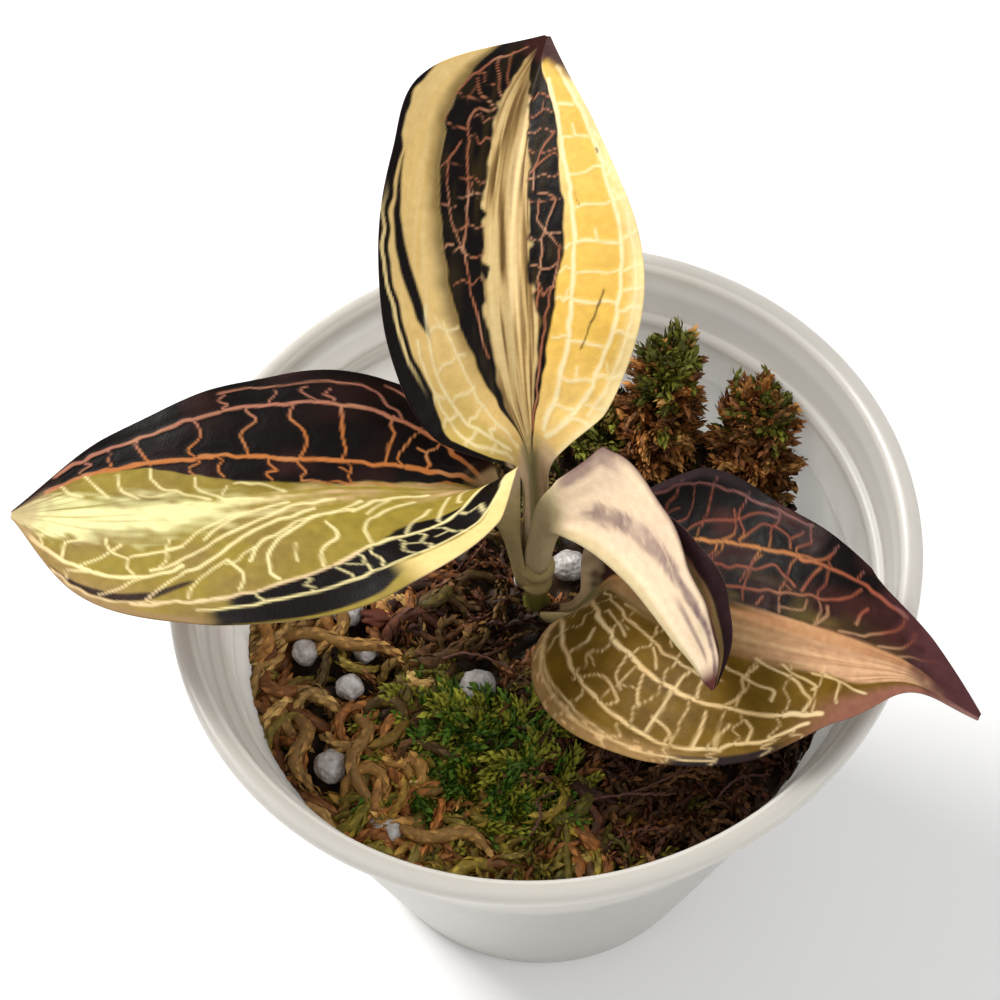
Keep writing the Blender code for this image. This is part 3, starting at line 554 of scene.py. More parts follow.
def paint_left(c):
    """The left leaf: a black half with copper veins above an olive half with a cream net."""
    t, s, n = c.t, c.s, len(c.t)
    edge = 0.016 * c.grain(1.5, 2, 101)
    streak = grain(c.u / 8, s * 30 - 3 * t, 102) + 0.5 * grain(c.u / 4, s * 64, 103)
    top = line(BLACK_EDGE, t) + edge
    colour = layered(plain(OLIVE_YELLOW, n),
                     ((0.24, 0.16, 0.05), np.clip(0.3 + 0.7 * c.grain(4, 4, 104), 0, 1)
                      * step(0.45, 0.75, t)),
                     ((0.30, 0.20, 0.06), step(-0.6, -0.85, s) * step(0.75, 0.85, t)))
    colour *= (1 + 0.1 * c.grain(0.8, 0.8, 105) + 0.05 * c.grain(0.3, 0.3, 106))[:, None]

    feather_low = pairs(25, -34, 40, -12, 55, -12, 65, -14, 75, -22, 82, -28, 90, -32, 100, -80)
    feather_high = pairs(25, 12, 40, 2, 60, 0, 70, 0, 76, 4, 82, 6, 87, 12, 92, 30, 96, 50, 100, 70)
    ragged = 0.09 * grain(c.u / 1.5 - 9 * s, c.v * 1.4, 107)
    feather = step(-0.12, 0.08, s - line(feather_low, t) + ragged)
    feather *= step(0.10, -0.10, s - line(feather_high, t) + ragged)
    feather *= np.clip(line(pairs(20, 60, 40, 40, 60, 42, 75, 75, 90, 85), t) + 0.6 * streak, 0, 0.92)
    light = layered(plain((0.62, 0.42, 0.22), n),
                    ((0.80, 0.77, 0.38), step(0.5, 0.75, t)))
    colour = layered(colour,
                     (light, feather),
                     ((0.42, 0.26, 0.12), step(0.36, 0.26, t) * step(0.3, 0.0, np.abs(s + 0.2)) * 0.8))

    black = layered(plain(BLACK, n),
                    ((0.045, 0.014, 0.012), np.clip(0.2 + 0.6 * c.grain(5, 3, 108), 0, 1) * 0.7))
    above = step(-0.01, 0.012, s - top)
    colour = mixed(colour, black, above)
    dusk = step(0.30, 0.24, t) * above
    colour = mixed(colour, (0.12, 0.04, 0.025), dusk * 0.7)
    feather_tip = step(0.93, 0.99, t + 0.02 * c.grain(1, 1, 109)) * step(0.9, 0.6, s)
    colour = mixed(colour, (0.42, 0.30, 0.16), feather_tip * 0.7)

    low, under = line(WHITE_LINE, t) + 0.3 * edge, line(LOW_LINE, t) + 0.3 * edge
    strip = step(0.01, -0.01, s - low) * step(-0.01, 0.01, s - under)
    strip = strip * step(0.21, 0.235, t) * step(0.71, 0.69, t)
    colour = mixed(colour, BLACK, strip)
    hump = line(pairs(34, 0, 37, 8, 42, 12, 45, 8, 48, 0), t)
    colour = mixed(colour, BLACK, step(0.012, -0.012, s - low - hump) * step(-0.01, 0.01, s - low)
                   * step(0.34, 0.36, t) * step(0.49, 0.47, t))
    foot = pairs(40, 30, 47, 16, 52, 6, 60, 3, 73, 0)
    below_black = step(0.012, -0.012, s - under) * step(-1.02, -1.0, s - line(foot, t))
    colour = mixed(colour, BLACK, below_black * step(0.47, 0.5, t) * step(0.74, 0.71, t))
    lobe = step(0.012, -0.012, s - under + 0.02) * step(0.50, 0.45, t) * step(0.29, 0.33, t)
    colour = mixed(colour, (0.86, 0.66, 0.28), lobe * 0.9)
    curl = step(-0.56, -0.61, s) * step(0.28, 0.24, t) + step(0.02, -0.01, s - under) * step(0.36, 0.32, t)
    colour = mixed(colour, (0.86, 0.72, 0.34), np.clip(curl, 0, 1) * 0.9)
    # Painted shade: black lines along the creases of the curled base.
    crease_shade = c.veins(strokes((30, 31, -74, 27, -76, 23, -76, 18, -74),
                              (14, 30, -94, 26, -95.5, 22, -95)), 133, 0.06)
    colour = mixed(colour, BLACK, drawn(crease_shade) * 0.92)
    wedge = pairs(74, -66, 77, -73, 80, -81, 84, -87, 88, -90, 93, -95)
    depth = line(pairs(73.5, 0, 76, 1.8, 80, 3, 86, 3.5, 90, 2, 93, 0), t)
    colour = layered(colour,
                     ((0.03, 0.015, 0.01), step(0.014, -0.01, np.abs(s - line(wedge, t)) - depth)
                      * step(0.73, 0.75, t) * step(0.94, 0.92, t)),
                     ((0.30, 0.19, 0.09), step(-0.93, -0.97, s) * step(0.7, 0.76, t) * 0.8))

    over = c.veins(left_copper_veins(), 131, 0.12)
    copper = layered(plain(ORANGE, n),
                     ((0.42, 0.17, 0.11), step(0.5, 0.75, s)),
                     ((0.55, 0.30, 0.14), np.clip(c.grain(3, 2, 110), 0, 1) * 0.5))
    colour = mixed(colour, copper, drawn(over, 0.09) * np.maximum(above, step(0.06, 0.0, np.abs(s - top)))
                   * 0.95)

    lace = c.veins(left_light_veins(), 132, 0.1)
    cream = layered(plain((0.92, 0.80, 0.40), n),
                    ((0.75, 0.52, 0.30), step(-0.7, -0.8, s) * step(0.7, 0.8, t) * 0.7),
                    ((0.70, 0.45, 0.30), drawn(np.abs(s - low) * 14 - 0.2) * step(0.48, 0.54, t)
                     * step(0.8, 0.7, t) * 0.7))
    colour = mixed(colour, cream, drawn(lace, 0.15) * (1 - above) * (1 - feather_tip) * 0.92)
    relief = np.minimum(np.minimum(over + 0.1, lace + 0.1), 3)
    return stalk_colours(c, colour), relief


def right_light_veins():
    """The cream net over the near half."""
    first = pairs(20, 60, 25, 56, 30, 46, 35, 42, 40, 43, 45, 48, 50, 53, 55, 56.5, 60, 60, 65, 64, 70,
                  71, 72.5, 78)
    second = pairs(27, 97, 30, 84, 34, 74.5, 40, 73.5, 45, 79, 50, 85, 55, 88.5, 60, 87, 66, 85, 71, 86)
    third = pairs(25, 29, 35, 26, 40, 27.5, 45, 33, 50, 38, 53, 41)
    fourth = pairs(50, 20, 56, 31, 60, 37, 64, 43, 64.5, 52)
    inner = pairs(20, 20, 60, 20)
    light = [(0.24, first), (0.17, second), (0.13, third), (0.15, fourth),
             *strokes((11, 33, 20, 40, 17, 50, 22, 54, 26), (22, 22, 95, 24.5, 82, 26.5, 68, 28, 52),
                      (13, 59, 20, 65, 30, 68, 40, 70, 55, 70, 70), (12, 64, 22, 70, 40, 70, 45),
                      (12, 69, 26, 74, 38, 74.5, 55, 75, 70), (12, 71, 28, 75, 42, 79, 62),
                      (12, 50, 53, 50, 70, 50, 82), (9, 38, 76, 39.5, 66, 42, 63, 44.5, 70, 44, 76),
                      (10, 41, 44, 42, 58, 44, 64), (9, 45, 50, 46, 60, 47.5, 70),
                      (10, 50, 72, 53, 80, 53, 86), (12, 53.5, 54, 53, 44, 53, 40),
                      (13, 58, 58, 59.5, 46, 58.5, 36, 60, 26), (12, 56.5, 86, 56.5, 72, 56, 62),
                      (10, 59.5, 86, 59.7, 70), (12, 63, 84, 63.5, 76, 62, 68),
                      (12, 50, 52, 50, 44, 50.5, 38), (10, 43, 33, 45, 40, 46, 45),
                      (9, 32, 40, 32.5, 34, 35, 33, 38, 35), (10, 35, 72, 35.5, 62, 34, 50),
                      (7, 30, 93, 40, 88, 50, 95), (8, 44, 20, 45.5, 28), (8, 41, 19, 41.5, 26))]
    light += cross_links([
        ((0.26, 0.29, 0.33, 0.4, 0.47, 0.54, 0.6, 0.66, 0.7), second, pairs(0, 98.5, 100, 98.5)),
        ((0.28, 0.315, 0.37, 0.43, 0.48, 0.53, 0.585, 0.61, 0.66), first, second),
        ((0.3, 0.36, 0.42, 0.48, 0.54, 0.6, 0.66, 0.71), inner, first)], 221, 0.045, 1.0)
    light += strokes((9, 25, 99, 32, 93, 42, 92.5, 52, 95, 60, 96))
    return light


def right_red_veins():
    """The red net over the far half, its main vein first."""
    red = strokes((20, 26, -36, 33, -41, 40, -47, 46, -54, 52, -60, 58, -65, 64, -69, 70, -74, 78, -82,
                   84, -88), (13, 43, -20, 50, -26, 55, -31, 60, -36, 65, -42, 69, -45, 72, -55, 74, -72),
                  (11, 38, -28, 45, -36, 52, -44, 56, -52, 59, -48, 61.5, -44),
                  (11, 36, -48, 40, -60, 45, -70, 50, -84, 54, -88),
                  (10, 32, -58, 35.5, -62, 36.5, -74, 36, -86),
                  (10, 47, -58, 50, -72, 53, -80, 57, -78, 58, -70), (9, 58, -78, 60, -88),
                  (13, 60, -68, 65, -74, 67, -84, 67.5, -90),
                  (11, 26, -96, 32, -91, 40, -87.5, 46, -90, 54, -94, 62, -96.5),
                  (12, 72, -20, 78, -30, 81, -45, 83, -62, 83.5, -80),
                  (10, 80, -20, 84, -34, 85.5, -55, 86, -78), (10, 84, -20, 88, -40, 90, -62),
                  (13, 63, -42, 64, -54, 65.5, -66), (15, 67.5, -20, 69, -30, 69, -38),
                  (16, 75, -36, 75.5, -46, 76.5, -56), (12, 54.5, -20, 55.5, -27),
                  (9, 50, -30, 51, -44, 53, -56), (8, 42, -30, 43, -42, 43.5, -50),
                  (9, 60, -24, 64, -28, 64.5, -38), (10, 73, -78, 74, -90),
                  (9, 44, -52, 46, -62, 45, -78))
    red += cross_links([
        ((0.33, 0.4, 0.47, 0.54, 0.61, 0.68), red[0][1], pairs(0, -95, 100, -95)),
        ((0.36, 0.44, 0.52, 0.6, 0.67), pairs(0, -16, 100, -20), red[0][1])], 222, 0.075, 1.4)
    return red


def paint_right(c):
    """The right leaf: olive with cream veins on its near half, maroon with red ones on its far half."""
    t, s, n = c.t, c.s, len(c.t)
    streak = grain(c.u / 8, s * 26, 202) + 0.5 * grain(c.u / 4, s * 60, 203)
    colour = layered(plain((0.125, 0.066, 0.004), n),
                     ((0.19, 0.105, 0.008), np.clip(0.3 + 0.9 * c.grain(2, 2, 204), 0, 1) * 0.7),
                     ((0.42, 0.25, 0.10), step(0.86, 0.94, s) * step(0.66, 0.5, t) * 0.6))
    flecks = step(0.35, 0.6, c.grain(0.5, 0.35, 205)) * step(0.88, 0.92, s) * step(0.56, 0.5, t)
    colour = layered(colour,
                     ((0.72, 0.46, 0.22), flecks * 0.8),
                     ((0.30, 0.12, 0.09), step(0.66, 0.78, t) * step(0.45, 0.8, s) * 0.8))
    far = step(-0.08, -0.16, s + 0.03 * c.grain(2, 2, 206))
    dark = layered(plain(BLACK, n),
                   ((0.11, 0.075, 0.02), np.clip(0.1 + c.grain(3, 1.6, 207), 0, 1) * step(-0.5, -0.2, s)
                    * step(0.4, 0.55, t)),
                   ((0.11, 0.03, 0.025), np.clip(0.2 + 0.8 * c.grain(4, 3, 208), 0, 1) * 0.5))
    colour = mixed(colour, dark, far)
    band_high = pairs(20, 22, 40, 15, 55, 17, 65, 20, 72, 28, 78, 42, 85, 50, 90, 50)
    band_low = pairs(20, -10, 45, -10, 60, -15, 70, -20, 85, -18, 95, -10)
    band = step(-0.03, 0.03, s - line(band_low, t) + 0.02 * streak)
    band *= step(0.05, -0.03, s - line(band_high, t) + 0.03 * streak)
    salmon = layered(plain((0.36, 0.22, 0.09), n),
                     ((0.62, 0.36, 0.20), step(0.45, 0.75, t)),
                     ((0.26, 0.12, 0.05), np.clip(0.2 - 0.7 * streak, 0, 1) * 0.6),
                     ((0.66, 0.46, 0.24), np.clip(0.7 * streak, 0, 1) * 0.5),
                     ((0.46, 0.20, 0.08), step(-0.02, -0.1, s) * 0.6))
    colour = mixed(colour, salmon, band)
    dusk = step(0.83, 0.93, t - 0.05 * s + 0.02 * c.grain(1, 1, 209))
    colour = layered(colour,
                     ((0.085, 0.028, 0.030), dusk),
                     ((0.42, 0.22, 0.18), step(0.9, 0.97, t) * step(0.1, 0.7, s) * 0.6))
    lilac = step(-0.9, -0.96, s) * step(0.5, 0.3, t)
    colour = layered(colour,
                     ((0.10, 0.06, 0.07), lilac * 0.8),
                     ((0.02, 0.012, 0.012),
                      step(0.925, 0.945, s) * step(0.53, 0.56, t) * step(0.7, 0.66, t)))
    colour *= (1 + 0.10 * c.grain(0.5, 0.5, 210))[:, None]

    lace = c.veins(right_light_veins(), 231, 0.1)
    cream = layered(plain((0.78, 0.55, 0.26), n),
                    ((0.86, 0.70, 0.40), np.clip(0.4 + c.grain(3, 3, 211), 0, 1) * 0.6))
    colour = mixed(colour, cream, drawn(lace, 0.15) * step(0.16, 0.2, s) * (1 - dusk) * 0.92)

    red = right_red_veins()
    fire = c.veins(red, 232, 0.12)
    ember = layered(plain((0.32, 0.085, 0.045), n),
                    ((0.50, 0.20, 0.06), step(0.12, 0.04, np.abs(s - line(red[0][1], t)))
                     * step(0.75, 0.5, t)),
                    ((0.46, 0.26, 0.14), step(-0.5, -0.25, s) * step(0.5, 0.65, t)),
                    ((0.26, 0.11, 0.10), step(-0.82, -0.9, s)))
    colour = mixed(colour, ember, drawn(fire, 0.15) * step(-0.08, -0.15, s) * (1 - 0.75 * dusk) * 0.9)
    relief = np.minimum(np.minimum(lace + 0.1, fire + 0.1), 3)
    return stalk_colours(c, colour), relief


def paint_young(c):
    """The folded young leaf's upper face: dark, with a brown stripe."""
    t, s, n = c.t, c.s, len(c.t)
    colour = plain((0.03, 0.012, 0.014), n)
    stripe = step(0.09, 0.04, np.abs(np.abs(s) - 0.68)) * step(0.4, 0.6, t)
    colour = layered(colour,
                     ((0.34, 0.22, 0.08), stripe * 0.85),
                     ((0.26, 0.16, 0.06), step(0.16, 0.05, np.abs(s)) * 0.6))
    ribs = [(0.13, [(0.25, k), (0.4, k * 1.1), (0.6, k), (0.8, k * 0.8), (0.95, k * 0.5)])
            for k in (-0.75, -0.4, 0.4, 0.75)]
    net = c.veins(ribs, 331, 0.08)
    colour = mixed(colour, (0.30, 0.12, 0.07), drawn(net) * 0.7)
    colour *= (1 + 0.15 * c.grain(1, 1, 301))[:, None]
    return stalk_colours(c, colour), np.minimum(net + 0.1, 3)


def under_young(c, _):
    """Its underside: pale pinkish cream with purple blotches and pale ribs."""
    t, s, n = c.t, c.s, len(c.t)
    colour = layered(plain((0.92, 0.72, 0.50), n),
                     ((0.84, 0.62, 0.47), np.clip(c.grain(4, 3, 311), 0, 1) * 0.6))
    blotch = 0.5 * c.grain(1.6, 1.1, 312) + 0.3 * c.grain(0.5, 0.5, 313)
    centre = pairs(28, 32, 36, 36, 42, 45, 48, 55, 55, 60, 62, 70, 70, 78, 80, 85)
    depth = line(pairs(27, 2, 32, 5, 42, 10, 50, 13, 60, 10, 75, 6), t)
    patch = step(0.06, -0.06, np.abs(np.abs(s) - line(centre, t)) - depth - 0.07 * blotch)
    colour = mixed(colour, UNDER_PURPLE, patch * np.clip(0.65 + 0.4 * blotch, 0, 1) * step(0.28, 0.34, t))
    grey = step(0.05, -0.04, np.abs(np.abs(s) - 0.5) - 0.05) * step(0.62, 0.7, t) * step(0.9, 0.85, t)
    colour = mixed(colour, (0.22, 0.14, 0.14), grey * 0.7)
    corner = step(0.76, 0.86, np.abs(s) + 0.05 * blotch) * step(0.40, 0.33, t) * step(0.24, 0.27, t)
    colour = layered(colour,
                     ((0.30, 0.19, 0.18), corner * 0.8),
                     ((0.10, 0.035, 0.035), step(0.95, 0.985, np.abs(s)) * step(0.26, 0.3, t) * 0.8))
    rib = step(0.16, 0.07, np.abs(s))
    colour = layered(colour,
                     ((0.50, 0.42, 0.22), rib * 0.8),
                     ((0.14, 0.04, 0.035), step(0.88, 0.96, t)))
    ribs = [(0.12, [(0.26, 0.3 * k), (0.4, 0.3 * k), (0.6, 0.3 * k), (0.85, 0.24 * k)]) for k in (-1, 1)]
    ribs += [(0.12, [(0.26, 0.74 * k), (0.34, 0.7 * k), (0.45, 0.68 * k), (0.6, 0.66 * k),
                     (0.85, 0.5 * k)]) for k in (-1, 1)]
    for k in (-1, 1):
        ribs += [(0.08, [(x, 0.08 * k), (x + 0.012, 0.35 * k), (x + 0.045, 0.7 * k),
                         (x + 0.06, 0.98 * k)]) for x in (0.27, 0.31, 0.35, 0.4, 0.46, 0.53)]
    lace = c.veins(ribs, 332, 0.06)
    colour = mixed(colour, (0.84, 0.66, 0.46), drawn(lace, 0.14) * 0.6 * step(0.8, 0.7, t))
    fade = step(0.28, 0.21, t)
    colour = mixed(colour, (0.60, 0.50, 0.28), fade)
    return colour


def under_open(c, upper):
    """An open leaf's underside: dull pink where its upper face is light and purple where it is dark."""
    light = upper.mean(axis=1)
    colour = layered(plain(UNDER_PURPLE, len(light)),
                     (UNDER_PALE, step(0.02, 0.4, light) * 0.8),
                     ((0.50, 0.40, 0.22), step(0.14, 0.04, np.abs(c.s)) * 0.8),
                     ((0.48, 0.38, 0.18), step(0.3, 0.22, c.t)))
    return colour * (1 + 0.1 * c.grain(1, 1, 401))[:, None]


def finish_mesh(name, points, faces, colours, material):
    """A smooth-shaded object from points in millimetres, with a colour for each point or None."""
    mesh = bpy.data.meshes.new(name)
    points, faces = np.asarray(points, np.float32), [tuple(f) for f in faces]
    mesh.from_pydata((points * MM).tolist(), [], faces)
    mesh.polygons.foreach_set("use_smooth", [True] * len(mesh.polygons))
    if colours is not None:
        paint = mesh.color_attributes.new("paint", "FLOAT_COLOR", "POINT")
        rgba = np.hstack([np.clip(colours, 0, 1), np.ones((len(points), 1))]).astype(np.float32)
        paint.data.foreach_set("color", rgba.ravel())
    mesh.materials.append(material)
    mesh.update()
    obj = bpy.data.objects.new(name, mesh)
    bpy.context.scene.collection.objects.link(obj)
    return obj


def grid_faces(rows, columns):
    """Faces between neighbouring points of a grid."""
    r, c = np.meshgrid(np.arange(rows - 1), np.arange(columns - 1), indexing="ij")
    a = (r * columns + c).ravel()
    return np.stack([a, a + 1, a + columns + 1, a + columns], axis=1)


def leaf_relief(c, top, relief):
    """Lifts the blade between its veins, with a ridge along each and a trough along the midrib."""
    shape = (len(c.rows), len(c.columns), 3)
    along, across = (np.gradient(top.reshape(shape), axis=k).reshape(-1, 3) for k in (0, 1))
    normal = unit(np.cross(across, along))
    quilt = PILLOW_HEIGHT * step(0.0, 1.4, relief)
    ridge = RIDGE_HEIGHT * np.exp(-(relief / 0.32) ** 2)
    trough = -TROUGH_DEPTH * np.exp(-(c.v / 0.8) ** 2)
    blade = step(0.24, 0.32, c.t) * step(1.0, 0.93, c.t)
    return top + normal * ((quilt + ridge + trough) * blade)[:, None], normal


def leaf_faces(rows, columns):
    """Faces of a fine upper grid, a lower one of every second row and column, and the edge between.

    Also gives the places of the lower grid's points in the upper one.
    """
    count = rows * columns
    coarse = np.arange(count).reshape(rows, columns)[::2, ::2]
    low = {int(i): count + k for k, i in enumerate(coarse.ravel())}
    faces = [tuple(f) for f in grid_faces(rows, columns)]
    faces += [tuple(count + i for i in f[::-1]) for f in grid_faces(*coarse.shape)]
    border = list(range(columns)) + [r * columns + columns - 1 for r in range(1, rows)]
    border += [count - columns + k for k in range(columns - 2, -1, -1)]
    border += [r * columns for r in range(rows - 2, -1, -1)]
    faces += [(border[k], low[border[k]], low[border[k + 2]], border[k + 2], border[k + 1])
              for k in range(0, len(border) - 2, 2)]
    return faces, coarse.ravel()


def make_leaf(name, paint, under=under_open):
    """A blade whose markings are painted on a fine grid, with raised veins, a keel and thin margins."""
    c = Canvas(LEAVES[name])
    colour, relief = paint(c)
    top, normal = leaf_relief(c, leaf_points(c.leaf, c.t, c.s), relief)
    thick = EDGE_THICKNESS + (BLADE_THICKNESS - EDGE_THICKNESS) * (1 - np.abs(c.s) ** 6)
    keel = line(KEEL, c.t) * np.exp(-(c.v / 0.9) ** 2)
    bottom = top - normal * (thick + keel)[:, None]
    faces, kept = leaf_faces(len(c.rows), len(c.columns))
    leaf = finish_mesh(name.replace("leaf", "blade"), np.vstack([top, bottom[kept]]), faces,
                       np.vstack([colour, under(c, colour)[kept]]), leaf_material())
    settle(leaf, name)


def settle(obj, *nodes, slot=None):
    """Puts a piece on the one body, in place of the nodes it stands for."""
    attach(obj, "root")
    if nodes:
        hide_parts(*nodes)


class Look:
    """A Principled material and the textures that feed it, in object coordinates."""

    def __init__(self, name, **inputs):
        self.material = bpy.data.materials.new(name)
        self.material.use_nodes = True
        self.nodes, self.links = self.material.node_tree.nodes, self.material.node_tree.links
        self.bsdf = self.nodes["Principled BSDF"]
        self.normal = None
        for key, value in inputs.items():
            self.bsdf.inputs[key.replace("_", " ")].default_value = value

    def texture(self, kind, output, scale):
        place = self.nodes.new("ShaderNodeTexCoord")
        texture = self.nodes.new(kind)
        texture.inputs["Scale"].default_value = scale
        self.links.new(place.outputs["Object"], texture.inputs["Vector"])
        return texture.outputs[output]

    def noise(self, scale, detail=3.0):
        value = self.texture("ShaderNodeTexNoise", "Fac", scale)
        value.node.inputs["Detail"].default_value = detail
        return value

    def cells(self, scale):
        return self.texture("ShaderNodeTexVoronoi", "Distance", scale)

    def paint(self):
        """The colours stored with the mesh."""
        node = self.nodes.new("ShaderNodeAttribute")
        node.attribute_name = "paint"
        return node.outputs["Color"]

    def ranged(self, value, low, high, to_low, to_high):
        """Maps low to high onto to_low to to_high, and holds the ends."""
        node = self.nodes.new("ShaderNodeMapRange")
        for key, number in (("From Min", low), ("From Max", high), ("To Min", to_low),
                            ("To Max", to_high)):
            node.inputs[key].default_value = number
        self.links.new(value, node.inputs["Value"])
        return node.outputs["Result"]

    def base_colour(self, colour, tint, factor):
        """A colour, fixed or from an output, multiplied by a tint as far as the factor goes."""
        node = self.nodes.new("ShaderNodeMix")
        node.data_type, node.blend_type = "RGBA", "MULTIPLY"
        if isinstance(colour, tuple):
            node.inputs["A"].default_value = (*colour, 1)
        else:
            self.links.new(colour, node.inputs["A"])
        node.inputs["B"].default_value = (*tint, 1)
        self.links.new(factor, node.inputs["Factor"])
        self.links.new(node.outputs["Result"], self.bsdf.inputs["Base Color"])

    def bump(self, height, strength, distance):
        """Fine relief, on top of any relief already there."""
        node = self.nodes.new("ShaderNodeBump")
        node.inputs["Strength"].default_value = strength
        node.inputs["Distance"].default_value = distance
        self.links.new(height, node.inputs["Height"])
        if self.normal:
            self.links.new(self.normal, node.inputs["Normal"])
        self.normal = node.outputs["Normal"]
        self.links.new(self.normal, self.bsdf.inputs["Normal"])


@cache
def leaf_material():
    """Velvety leaf skin: tiny domed cells over the painted markings."""
    look = Look("leaf skin", Roughness=0.42, Specular_IOR_Level=0.09)
    look.base_colour(look.paint(), (0.55, 0.45, 0.35), look.ranged(look.noise(900), 0.3, 0.7, 0, 0.22))
    look.bump(look.cells(5200), 0.35, 0.00006)
    look.bump(look.noise(1500), 0.25, 0.0001)
    gloss = look.ranged(look.noise(700), 0.3, 0.7, 0.38, 0.55)
    look.links.new(gloss, look.bsdf.inputs["Roughness"])
    return look.material


@cache
def moss_material():
    """Matt fibre that lets a little light in."""
    look = Look("moss", Roughness=0.62, Specular_IOR_Level=0.35, Subsurface_Weight=0.1,
                Subsurface_Scale=0.0008, Subsurface_Radius=(1, 0.7, 0.4))
    look.base_colour(look.paint(), (0.35, 0.27, 0.18), look.ranged(look.noise(1400), 0.35, 0.7, 0, 0.5))
    look.bump(look.noise(3000), 0.4, 0.0001)
    return look.material


def pot_material():
    """Milky plastic, clouded a little."""
    look = Look("milky plastic", Roughness=0.32, Specular_IOR_Level=0.5, Subsurface_Weight=1.0,
                Subsurface_Scale=0.006, Subsurface_Radius=(1, 1, 1))
    look.base_colour(look.paint(), (0.82, 0.81, 0.79), look.ranged(look.noise(38, 1), 0.3, 0.7, 0, 0.3))
    return look.material


@cache
def bead_material():
    """Pitted grey perlite."""
    look = Look("perlite", Roughness=0.42, Specular_IOR_Level=0.6, Subsurface_Weight=0.1,
                Subsurface_Scale=0.0008, Subsurface_Radius=(1, 1, 1))
    look.base_colour((0.64, 0.62, 0.61), (0.48, 0.43, 0.38),
                     look.ranged(look.noise(900, 5), 0.35, 0.65, 0, 0.75))
    look.bump(look.cells(1700), 0.7, 0.00025)
    return look.material


def oval(points):
    """The cup is pressed a little out of round towards its rim."""
    p = np.array(points, float)
    along = np.array([math.cos(OVAL_ANGLE), math.sin(OVAL_ANGLE)])
    across = np.array([-along[1], along[0]])
    k = OVAL * p[:, 2] / POT_HEIGHT
    u, v = p[:, :2] @ along * (1 + k), p[:, :2] @ across * (1 - k)
    p[:, :2] = u[:, None] * along + v[:, None] * across
    return p


def wall_radius(z):
    """Outside radius of the cup's plain wall."""
    return BASE_RADIUS + (RIM_RADIUS - 3.6 - BASE_RADIUS) * z / STEP_Z


def rounded(profile, cuts):
    """Cuts the corners of an open profile again and again, keeping its ends."""
    for _ in range(cuts):
        soft = [profile[0]]
        for a, b in zip(profile, profile[1:]):
            for f in (0.25, 0.75):
                soft.append((a[0] + (b[0] - a[0]) * f, a[1] + (b[1] - a[1]) * f))
        profile = soft + [profile[-1]]
    return profile


def cup_profile():
    """(radius, height) from the middle of the foot up the outside, over the lip and down inside."""
    seat, top, inside = SEAT_RADIUS, wall_radius(STEP_Z), wall_radius(STEP_Z) - WALL
    foot = [(0, 0.0), (BASE_RADIUS - 1.0, 0), (BASE_RADIUS - 0.2, 0.1), (BASE_RADIUS + 0.1, 0.9)]
    wall = [(wall_radius(20), 20), (wall_radius(56), 56), (top - 0.1, STEP_Z - 0.8)]
    step_out = [(seat - 0.6, STEP_Z - 0.2), (seat - 0.3, STEP_Z + 0.6)]
    lip = [(SEAT_RADIUS + 0.1, -3), (SEAT_RADIUS + 0.2, -2.4), (RIM_RADIUS - 0.6, -2.3),
           (RIM_RADIUS - 0.1, -1.9), (RIM_RADIUS, -1.2), (RIM_RADIUS - 0.1, -0.4), (RIM_RADIUS - 0.6, 0),
           (RIM_RADIUS - 1.5, 0), (SEAT_RADIUS - 0.5, -0.5), (SEAT_RADIUS - 0.7, -1.4)]
    step_in = [(seat - 1.1, 2.2), (seat - 1.3, 1.3), (inside + 0.15, 1.0), (inside - 0.25, 0.7),
               (inside - 0.5, 0.2), (inside - 0.35, -0.6)]
    groove = [(wall_radius(60.4) - WALL, 60.4), (wall_radius(60) - WALL - 0.22, 60),
              (wall_radius(59.6) - WALL, 59.6)]
    floor = [(wall_radius(44) - WALL, 44), (wall_radius(20) - WALL, 20), (BASE_RADIUS - WALL, 2.2),
             (BASE_RADIUS - WALL - 1.2, 1.1), (0, 1.1)]
    return (foot + wall + step_out + [(r, POT_HEIGHT + z) for r, z in lip]
            + [(r, STEP_Z + z) for r, z in step_in] + groove + floor)


def ring_faces(rings, segments):
    """Sides between closed rings of points, and a cap at each end."""
    faces = [(r * segments + i, r * segments + (i + 1) % segments,
              (r + 1) * segments + (i + 1) % segments, (r + 1) * segments + i)
             for r in range(rings - 1) for i in range(segments)]
    faces.append(tuple(range(segments - 1, -1, -1)))
    faces.append(tuple((rings - 1) * segments + i for i in range(segments)))
    return faces


def make_pot():
    """The cup: a foot, a tapered wall with two faint rings, a lid step and a rolled lip."""
    rings = np.array(divided(rounded(cup_profile(), 2), 1.6)[1:-1])
    radius, z = (np.repeat(axis, CUP_SEGMENTS) for axis in rings.T)
    around = np.tile(2 * np.pi * np.arange(CUP_SEGMENTS) / CUP_SEGMENTS, len(rings))
    outer = np.where(radius > wall_radius(z) - WALL / 2, 1.0, -1.0)
    raised = np.exp(-((off_lines(around, z) / LINE_WIDTH) ** 2)) * (z > 8) * (z < STEP_Z - 1)
    radius = radius + LINE_HEIGHT * outer * raised
    points = np.stack([radius * np.cos(around), radius * np.sin(around), z], axis=1)
    # Painted shade on the outer faces and painted light on the inner ones, of one plastic.
    colours = np.where(outer[:, None] > 0, CUP_OUTSIDE_SHADED, CUP_INSIDE_LIT)
    pot = finish_mesh("cup", oval(points), ring_faces(len(rings), CUP_SEGMENTS), colours, pot_material())
    settle(pot, "pot")


def divided(profile, longest):
    """Splits the long sides of a profile, all but the flat ends."""
    result = profile[:2]
    for a, b in zip(profile[1:-2], profile[2:-1]):
        cuts = max(1, math.ceil(math.dist(a, b) / longest))
        result += [(a[0] + (b[0] - a[0]) * k / cuts, a[1] + (b[1] - a[1]) * k / cuts)
                   for k in range(1, cuts + 1)]
    return result + [profile[-1]]


